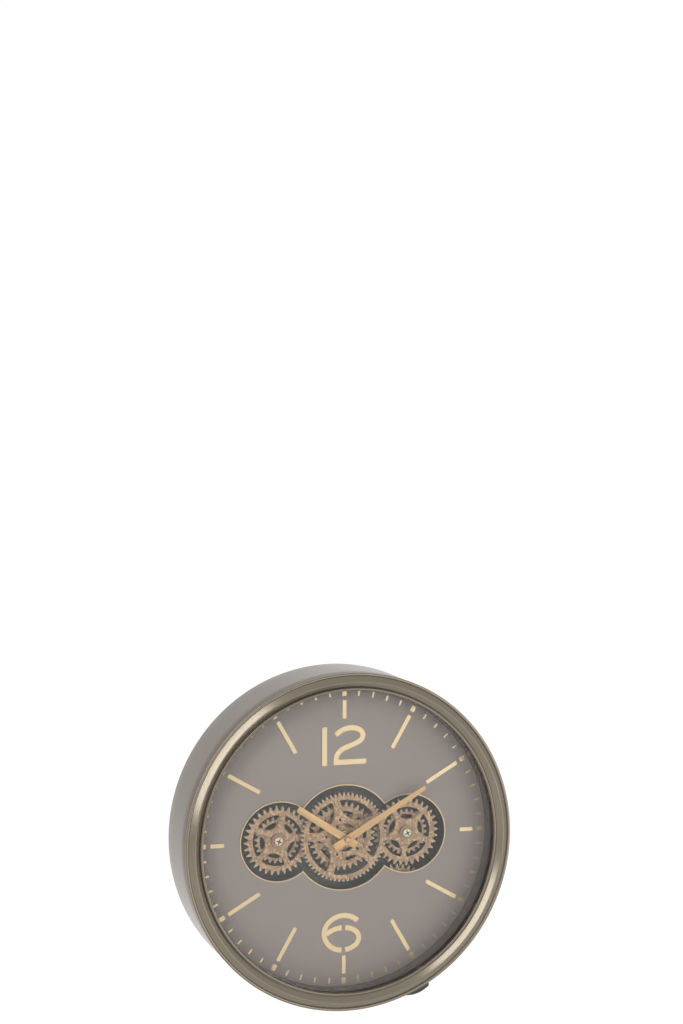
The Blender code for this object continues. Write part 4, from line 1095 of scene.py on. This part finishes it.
def make_marks(name, dial, height, rows):
    """Rings of bars, each with its copies, width, inner and outer radius, gaps and first angle."""
    front = span("dial")[1]
    rings = []
    for copies, width, inner, outer, skip, start in rows:
        outline = rectangle(-width / 2, width / 2, inner * dial.unit, outer * dial.unit)
        bar = sheet(outline, [], front - SUNK, front + height, (0, 0), 0.12 * MM, 1)
        rings.append(ring_of(bar, copies, "mark_gilt", skip=skip, start=start))
    piece(name, joined(*rings), "mark_gilt", body="case")


def make_numerals(dial):
    """The 12 and the 6, drawn in bar circles as strokes that overlap."""
    pen, front = dial.stroke / dial.unit, span("dial")[1]
    two = smooth_line([
        (-0.066, 0.751), (-0.012, 0.785), (0.053, 0.797), (0.112, 0.783), (0.141, 0.742),
        (0.125, 0.706), (0.083, 0.682), (0.017, 0.658), (-0.028, 0.636), (-0.055, 0.604),
        (-0.0625, 0.575), (-0.0625, 0.545),
    ])
    stem, bowl = (-0.006, -0.698), (-0.006, -0.742)
    for name, groups in (
        ("numeral_twelve", (
            [rectangle(-0.168, -0.131, 0.529, 0.808)],
            [stroke(two, pen), rectangle(-0.081, 0.166, 0.531, 0.568)],
        )),
        ("numeral_six", (
            [stroke(ellipse(stem, 0.144, 0.127, 50, -175.8, 40), pen),
             stroke(ellipse(bowl, 0.144, 0.082, -4.0, -62, 40), pen)],
            [stroke(ellipse(bowl, 0.120, 0.082, 8.0, 172.0, 40), pen)],
        )),
    ):
        shapes = []
        for loops in groups:
            sized = [[point * dial.unit for point in loop] for loop in loops]
            shapes.append(fused_sheet(sized, front - SUNK, front + dial.bar_height))
        piece(name, joined(*shapes), "mark_gilt", body="case")


WHEEL_SIZES = (
    "Tip Radius", "Root Radius", "Tooth Base", "Tooth Tip", "Window Radius", "Window Dip",
    "Window Half Angle",
)
RING_GEAR = (36.8, 32.3, 4.4, 1.3, 27.1, 13.9, 28)
SMALL_GEAR = (24.6, 21.6, 3.8, 1.6, 19.0, 12.6, 20)
FRONT_WHEEL = (47.9, 45, 3.2, 1.2, 40.4, 20.9, 29.3)
CENTRE_BORE, SIDE_BORE = 8.3 * MM, 6.8 * MM


def make_wheel(node, centre, sizes, teeth, bore, wheels, tooth_angle, spoke_angle, eyes=0):
    """One wheel of the train, from its sizes in millimetres and its angles in degrees."""
    rear, front = span(node)
    values = {
        label: math.radians(size) if "Angle" in label else size * MM
        for label, size in zip(WHEEL_SIZES, sizes)
    }
    values |= {
        "Teeth": teeth, "Tooth Angle": math.radians(tooth_angle),
        "Spokes": wheels.spokes, "Spoke Angle": math.radians(spoke_angle),
        "Eyes": eyes, "Eye Radius": wheels.eye_radius, "Eye Dip": wheels.eye_dip,
        "Eye Half Angle": wheels.eye_half_angle, "Hole Place": wheels.hole_place,
        "Hole Radius": wheels.hole_radius, "Bore Radius": bore, "Thickness": front - rear,
        "Edge": wheels.edge, "Place": (centre.x, -rear, centre.y),
        "Surface": SURFACES["aged_copper"],
    }
    piece(f"{node}_wheel", grown("spoked_wheel", fill_wheel, values), "aged_copper", node)


def make_gears(wheels):
    """The gears in mesh with the small ones behind them, and the large wheel in front."""
    valley = 180 / wheels.small_teeth
    for side, tooth_angle, spoke_angle in (
        ("centre", 7.2, 33.7), ("left", 9.675, 11.7), ("right", 9.675, 41.2), ("drive", 0.7, 20),
    ):
        centre, bore = middle(f"{side}_hub"), CENTRE_BORE if side == "centre" else SIDE_BORE
        make_wheel(f"{side}_gear", centre, RING_GEAR, wheels.ring_teeth, bore, wheels,
                   tooth_angle, spoke_angle)
        if side != "drive":
            make_wheel(f"{side}_small_gear", centre, SMALL_GEAR, wheels.small_teeth, bore, wheels,
                       spoke_angle + valley, spoke_angle)
    make_wheel("centre_front_wheel", CLOCK, FRONT_WHEEL, wheels.front_teeth, CENTRE_BORE, wheels,
               0.2, -13, wheels.spokes)
    make_hubs()


def make_hubs():
    """The hubs with their flanges between the wheels, and the posts, tubes and pillars."""
    small_rear, gear_front = span("centre_small_gear")[0] - PLAY, span("centre_gear")[1] + PLAY
    front_rear = span("centre_front_wheel")[0] - PLAY
    rear, front = span("centre_hub")
    bore, outer, flange = mm(5.7, 8.0, 10.5)
    sections = (outer, gear_front), (flange, front_rear), (outer, front)
    lathe("centre_hub_turned", "centre_hub", "brass", stepped(bore, rear, *sections), centre=CLOCK)
    outer, flange = mm(6.5, 9.0)
    for side, bore in (("left", 4.2), ("right", 4.2), ("drive", 3.3)):
        rear, front = span(f"{side}_hub")
        profile = stepped(bore * MM, rear, (flange, small_rear), (outer, front))
        lathe(f"{side}_hub_turned", f"{side}_hub", "brass", profile)
    make_post("left", "cream_steel", 20)
    make_post("right", "green_steel", 65)
    for node, bore, outer, finish in (
        ("centre_sleeve", 4.3, 5.5, "brass"), ("centre_retainer", 4.3, 8.0, "brass"),
        ("movement_neck", 2.75, 4.0, "brass"), ("hour_pipe", 1.8, 2.5, "brass"),
        ("minute_arbor", 0, 1.5, "brass"), ("motor_shaft", 0, 3.0, "zinc"),
    ):
        rear, front = span(node)
        profile = stepped(bore * MM, rear, (outer * MM, front))
        lathe(f"{node}_tube", node, finish, profile, 0.25 * MM, steps=40)
    for node in (f"plate_pillar_{number}" for number in range(1, 5)):
        low, high = [(0, 0), (4, 0), (4, 2), (3.4, 2.4)], [(3.4, -2.4), (4, -2), (4, 0), (0, 0)]
        profile = between(*span(node), low, high)
        lathe(f"{node}_turned", node, "zinc", profile, 0.25 * MM, steps=40)


def make_post(side, finish, turn):
    """A post with its foot, and the washer and the screw before it."""
    centre = middle(f"{side}_post")
    rear, front = span(f"{side}_post")
    washer_rear, washer_front = span(f"{side}_washer")
    shank_rear, head_front = span(f"{side}_screw")
    foot, foot_thick, shank, socket, washer = mm(7.0, 1.8, 4.0, 2.8, 7.5)
    sections = (foot, rear + foot_thick), (shank, front), (socket, shank_rear - PLAY)
    profile = stepped(0, rear, *sections)
    lathe(f"{side}_post_turned", f"{side}_post", "zinc", profile, centre=centre)
    lathe(f"{side}_washer_disc", f"{side}_washer", "dull_bronze",
          stepped(socket, washer_rear, (washer, washer_front)), centre=centre, steps=64)
    head_rear = washer_front + PLAY
    flat, crown, side_rise = mm(1.6, 3.1, 1.4)
    profile = between(
        shank_rear, head_rear, [(0, 0), (2.2, 0), (2.5, 0.4)], [(2.5, 0), (4.5, 0), (4.7, 0.2)]
    )
    rise = head_front - head_rear - side_rise
    profile += ellipse((flat, head_rear + side_rise), crown, rise, 90, 0, 8)
    profile.append((0, head_front))
    screw = add_object(f"{side}_screw_head", turned(profile, centre, 48), finish)
    cut_cross(screw, centre, head_front, turn)
    dress(screw, finish, f"{side}_screw")


def cut_cross(screw, centre, front, turn):
    """A cross recess in the screw's head, its walls painted dark as shade inside it."""
    half_x, half_z, deep, clear = mm(3.0, 0.75, 1.5, 1)
    arms = rectangle(-half_x, half_x, -half_z, half_z), rectangle(-half_z, half_z, -half_x, half_x)
    loops = [turned_points(arm, math.radians(turn)) for arm in arms]
    cross = fused_sheet(loops, front - deep, front + clear, centre)
    # The recess's walls take the near-black coat: painted shade
    cutter = add_object("cutter", cross, "painted_shade_coat")
    screw.data.materials.append(SURFACES["painted_shade_coat"])
    boolean = screw.modifiers.new("cross", "BOOLEAN")
    boolean.object, boolean.solver, boolean.operation = cutter, "EXACT", "DIFFERENCE"
    boolean.material_mode = "TRANSFER"
    screw.data = smoothed(applied(screw))
    bpy.data.objects.remove(cutter)


def make_hands(hands):
    """The two hands and the domed cap, its foot painted dark as shade in the gap round it."""
    for kind, tip_corner, corner, bore in (
        ("hour", *mm(2, 2, 2.8)), ("minute", *mm(0.9, 0.6, 1.8)),
    ):
        top, tail, width, tip_width, turn = (
            getattr(hands, f"{kind}_{size}")
            for size in ("length", "tail", "width", "tip", "angle")
        )
        tip, half = tip_width / 2 - tip_corner, width / 2
        points = arc((-tip, top - tip_corner), tip_corner, -90, 0, 8)
        points += arc((tip, top - tip_corner), tip_corner, 0, 90, 8)
        points += arc((half - corner, corner - tail), corner, 90, 180, 6)
        points += arc((corner - half, corner - tail), corner, 180, 270, 6)
        outline = turned_points(points, turn)
        blade = sheet(outline, [circle(bore)], *span(f"{kind}_hand"), edge=0.25 * MM)
        piece(f"{kind}_blade", blade, "hand_gilt", f"{kind}_hand")
    rear, front = span("cap_nut")
    radius, chamfer, wall, dark = reach("cap_nut"), *mm(0.2, 0.7, 0.45)
    profile = [(0, rear), (radius - chamfer, rear), (radius, rear + chamfer)]
    profile += ellipse((0, rear + wall), radius, front - rear - wall, 90, 0, 9)
    cap = add_object("cap_dome", turned(profile, CLOCK, 48), "cap_gilt")
    # The cap's outer foot takes the near-black coat: painted shade in the gap against the hand
    cap.data.materials.append(SURFACES["painted_shade_coat"])
    for face in cap.data.polygons:
        if math.hypot(face.center.x - CLOCK.x, face.center.z - CLOCK.y) > radius - dark:
            face.material_index = 1
    dress(cap, "cap_gilt", "cap_nut")


def make_works():
    """Plate, movement, battery box, neck nut, cells, motor, knob and switch."""
    low, high = (corner - Vector((CLOCK.x, 0, CLOCK.y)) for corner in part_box("gear_plate"))
    neck_hole, shaft_hole = mm(4.3, 3.3)
    holes = [circle(neck_hole), circle(shaft_hole, middle("motor_shaft") - CLOCK)]
    outline = rounded_box(low.x, high.x, low.z, high.z, 18 * MM)
    plate = sheet(outline, holes, *span("gear_plate"), edge=0.3 * MM)
    piece("works_plate", plate, "plate_paint", "gear_plate")
    for name, node, edge in (
        ("movement_housing_moulded", "movement_housing", 0.8),
        ("battery_box_moulded", "battery_box", 0.4),
    ):
        piece(name, softened(node, edge * MM), "black_plastic", node)
    hexagon = circle(13 / math.sqrt(3) * MM, steps=6)
    nut = sheet(hexagon, [circle(neck_hole)], *span("neck_nut"), edge=0.4 * MM)
    piece("neck_nut_hex", nut, "brass", "neck_nut")
    for node in ("clock_battery", "motor_battery_1", "motor_battery_2"):
        make_cell(node, -1 if node == "motor_battery_2" else 1)
    make_motor()
    make_knob()
    piece("switch_moulded", softened("switch_body", 0.35 * MM), "black_plastic", "switch_body")
    piece("rocker_moulded", softened("switch_rocker", 0.7 * MM), "black_plastic", "switch_rocker")


def make_cell(node, side):
    """A cell along X, its nub and coloured band on this side."""
    low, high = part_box(node)
    radius, half = (high.z - low.z) / 2, (high.x - low.x) / 2
    centre = (low + high) / 2
    nub, raised, bevel, band = mm(1.2, 0.25, 0.6, 13)
    shoulder = half - nub
    profile = [
        (0, -half), (4.5 * MM, -half), (4.5 * MM, raised - half), (radius - bevel, raised - half),
        (radius, 0.9 * MM - half), (radius, shoulder - band), (radius, shoulder - 0.8 * MM),
        (radius - bevel, shoulder), (2.9 * MM, shoulder), (2.7 * MM, half - 0.2 * MM),
        (2.5 * MM, half), (0, half),
    ]
    matrix = Matrix.Translation(centre) @ Matrix.Rotation(math.radians(90 * side), 4, "Z")
    found = add_object(f"{node}_cell", turned(profile, (0, 0), 48), "cell_sleeve", matrix=matrix)
    for finish in ("cell_band", "zinc"):
        found.data.materials.append(SURFACES[finish])
    for face in found.data.polygons:
        offset = face.center - centre
        along, away = offset.x * side, math.hypot(offset.y, offset.z)
        if away < radius - 0.7 * MM and abs(along) > half - 1.4 * MM:
            face.material_index = 2
        elif along > shoulder - band:
            face.material_index = 1
    dress(found, "cell_sleeve", node)


def make_motor():
    """The motor's can with its boss and groove, and the two ears that hold it."""
    rear, front = span("gear_motor")
    centre = middle("gear_motor")
    can = turned(between(rear, front, [
        (0, 0), (4, 0), (4.4, 0.4), (9, 0.4), (9.4, 0), (23.4, 0), (24.5, 0.5), (25, 1.6),
    ], [
        (25, -6.4), (24.5, -6.2), (24.5, -5.8), (25, -5.6), (25, 0), (3.3, 0), (3.3, -7.3),
        (0, -7.3),
    ]), centre, 96)
    ear_reach, ear_radius, hole, thick = mm(32, 5, 1.7, 1.5)
    ends = (ear_reach, 0), (-ear_reach, 0)
    outline = arc(ends[0], ear_radius, 0, 180, 24) + arc(ends[1], ear_radius, 180, 360, 24)
    holes = [circle(hole, end, 24) for end in ends]
    ears = sheet(outline, holes, front - thick, front, centre)
    piece("motor_can", joined(can, ears), "zinc", "gear_motor")


def make_knob():
    """The ribbed knob that sets the time, on its stem."""
    rear, front = span("set_knob")
    centre = middle("set_knob")
    knob = turned(between(rear, front, [
        (0, 0.5), (3.6, 0.5), (4.2, 0), (6, 0), (6.4, 0.4), (6.4, 4.1), (6, 4.5), (1.6, 4.5),
    ], [(1.6, -0.3), (1.3, 0), (0, 0)]), centre, 48)
    half_rib, inner, rib_rear, rib_front = mm(0.85, 6.1, 0.3, 4.2)
    low = (-half_rib, rear + rib_rear, inner)
    high = (half_rib, rear + rib_front, reach("set_knob"))
    ribs = ring_of(block(low, high, 0.25 * MM), 12, "white_plastic", centre=centre)
    piece("knob_ribbed", joined(knob, ribs), "white_plastic", "set_knob")


def make_back(works):
    """Rear cover, hanger plate with its keyhole, wall pads and the cover's screws."""
    hook = -CLOCK.y
    service = rounded_box(
        -works.service_half_width, works.service_half_width, -works.service_bottom,
        works.service_top, works.service_corner,
    )
    room, slot, entry, drop = mm(7.7, 2.6, 5.5, 9)
    head_way = arc((0, hook), room, -90, 90, 16) + arc((0, hook - drop), room, 90, 270, 16)
    outline = circle(reach("rear_cover"), steps=160)
    cover = sheet(outline, [service, head_way], *span("rear_cover"), edge=0.3 * MM)
    piece("back_cover", cover, "back_paint", "rear_cover")
    meets = math.degrees(math.asin(slot / entry))
    keyhole = arc((0, hook), slot, -90, 90, 16)
    keyhole += arc((0, hook - drop), entry, meets, 360 - meets, 32)
    low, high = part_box("hanger_plate")
    outline = rounded_box(low.x, high.x, low.z - CLOCK.y, high.z - CLOCK.y, 4 * MM)
    hanger = sheet(outline, [keyhole], *span("hanger_plate"), edge=0.25 * MM)
    piece("hanger_pressed", hanger, "zinc", "hanger_plate")
    for node in ("wall_pad_left", "wall_pad_right"):
        rear, front = span(node)
        profile = softened_profile(stepped(0, rear, (reach(node), front)), 0.5 * MM, 4)
        lathe(f"{node}_disc", node, "rubber", profile, 0)
    flange = span("case_drum")[0]
    head = turned(between(flange, flange, [
        (0, -1), (1.4, -1), (2.4, -0.5), (2.6, 0.05), (0, 0.05),
    ], []), (0, 0), 20)
    radius = reach("case_drum") - 9.5 * MM
    screws = ring_of(head, works.cover_screws, "zinc", radius)
    piece("cover_screws", screws, "zinc", body="case")


# Operators and panel

class BuildStage(bpy.types.Operator):
    """Set up the camera, the lights, the white surroundings and the floor"""
    bl_idname = "gear_clock.build_stage"
    bl_label = "Build stage"

    def execute(self, context):
        make_stage(context.scene.clock_stage)
        return {"FINISHED"}


class BuildFinishes(bpy.types.Operator):
    """Make every finish that the pieces are dressed in"""
    bl_idname = "gear_clock.build_finishes"
    bl_label = "Build finishes"

    def execute(self, context):
        make_finishes(context.scene)
        return {"FINISHED"}


class BuildCase(bpy.types.Operator):
    """Turn the drum with its dial tabs, the bezel and the glass"""
    bl_idname = "gear_clock.build_case"
    bl_label = "Build case"

    def execute(self, context):
        make_case(context.scene.clock_case)
        return {"FINISHED"}


class BuildDial(bpy.types.Operator):
    """Cut the dial and its window edge, and set its bars, ticks and numerals"""
    bl_idname = "gear_clock.build_dial"
    bl_label = "Build dial"

    def execute(self, context):
        make_dial(context.scene.clock_dial)
        return {"FINISHED"}


class BuildGears(bpy.types.Operator):
    """Cut the wheels of the gear train, and turn their hubs, posts and screws"""
    bl_idname = "gear_clock.build_gears"
    bl_label = "Build gears"

    def execute(self, context):
        make_gears(context.scene.clock_wheels)
        return {"FINISHED"}


class BuildHands(bpy.types.Operator):
    """Cut the two hands and turn their cap"""
    bl_idname = "gear_clock.build_hands"
    bl_label = "Build hands"

    def execute(self, context):
        make_hands(context.scene.clock_hands)
        return {"FINISHED"}


class BuildWorks(bpy.types.Operator):
    """Make the plate, the clock movement, the cells, the gear motor, the knob and the switch"""
    bl_idname = "gear_clock.build_works"
    bl_label = "Build works"

    def execute(self, context):
        make_works()
        return {"FINISHED"}


class BuildBack(bpy.types.Operator):
    """Cut the rear cover and the hanger plate, and set the pads and cover screws"""
    bl_idname = "gear_clock.build_back"
    bl_label = "Build back"

    def execute(self, context):
        make_back(context.scene.clock_works)
        return {"FINISHED"}


OPERATORS = (
    BuildStage, BuildFinishes, BuildCase, BuildDial, BuildGears, BuildHands, BuildWorks, BuildBack,
)
SETTINGS = {
    "clock_stage": StageSettings,
    "clock_case": CaseSettings,
    "clock_dial": DialSettings,
    "clock_wheels": WheelSettings,
    "clock_hands": HandSettings,
    "clock_works": WorksSettings,
}


class ClockPanel(bpy.types.Panel):
    """Lists the steps that dress the clock, and the sizes and colours they use"""
    bl_idname = "VIEW3D_PT_gear_clock"
    bl_label = "Gear wall clock"
    bl_space_type = "VIEW_3D"
    bl_region_type = "UI"
    bl_category = "Clock"

    def draw(self, context):
        for operator in OPERATORS:
            self.layout.operator(operator.bl_idname)
        for name, group in SETTINGS.items():
            column = self.layout.column()
            for key in group.__annotations__:
                column.prop(getattr(context.scene, name), key)


def register():
    for item in (*SETTINGS.values(), *OPERATORS, ClockPanel):
        bpy.utils.register_class(item)
    for name, group in SETTINGS.items():
        setattr(bpy.types.Scene, name, PointerProperty(type=group))


def unregister():
    for name in SETTINGS:
        delattr(bpy.types.Scene, name)
    for item in (ClockPanel, *reversed(OPERATORS), *reversed(SETTINGS.values())):
        bpy.utils.unregister_class(item)


def main():
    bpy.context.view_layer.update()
    register()
    bpy.ops.gear_clock.build_stage()
    bpy.ops.gear_clock.build_finishes()
    bpy.ops.gear_clock.build_case()
    bpy.ops.gear_clock.build_dial()
    bpy.ops.gear_clock.build_gears()
    bpy.ops.gear_clock.build_hands()
    bpy.ops.gear_clock.build_works()
    bpy.ops.gear_clock.build_back()


if __name__ == "__main__":
    main()
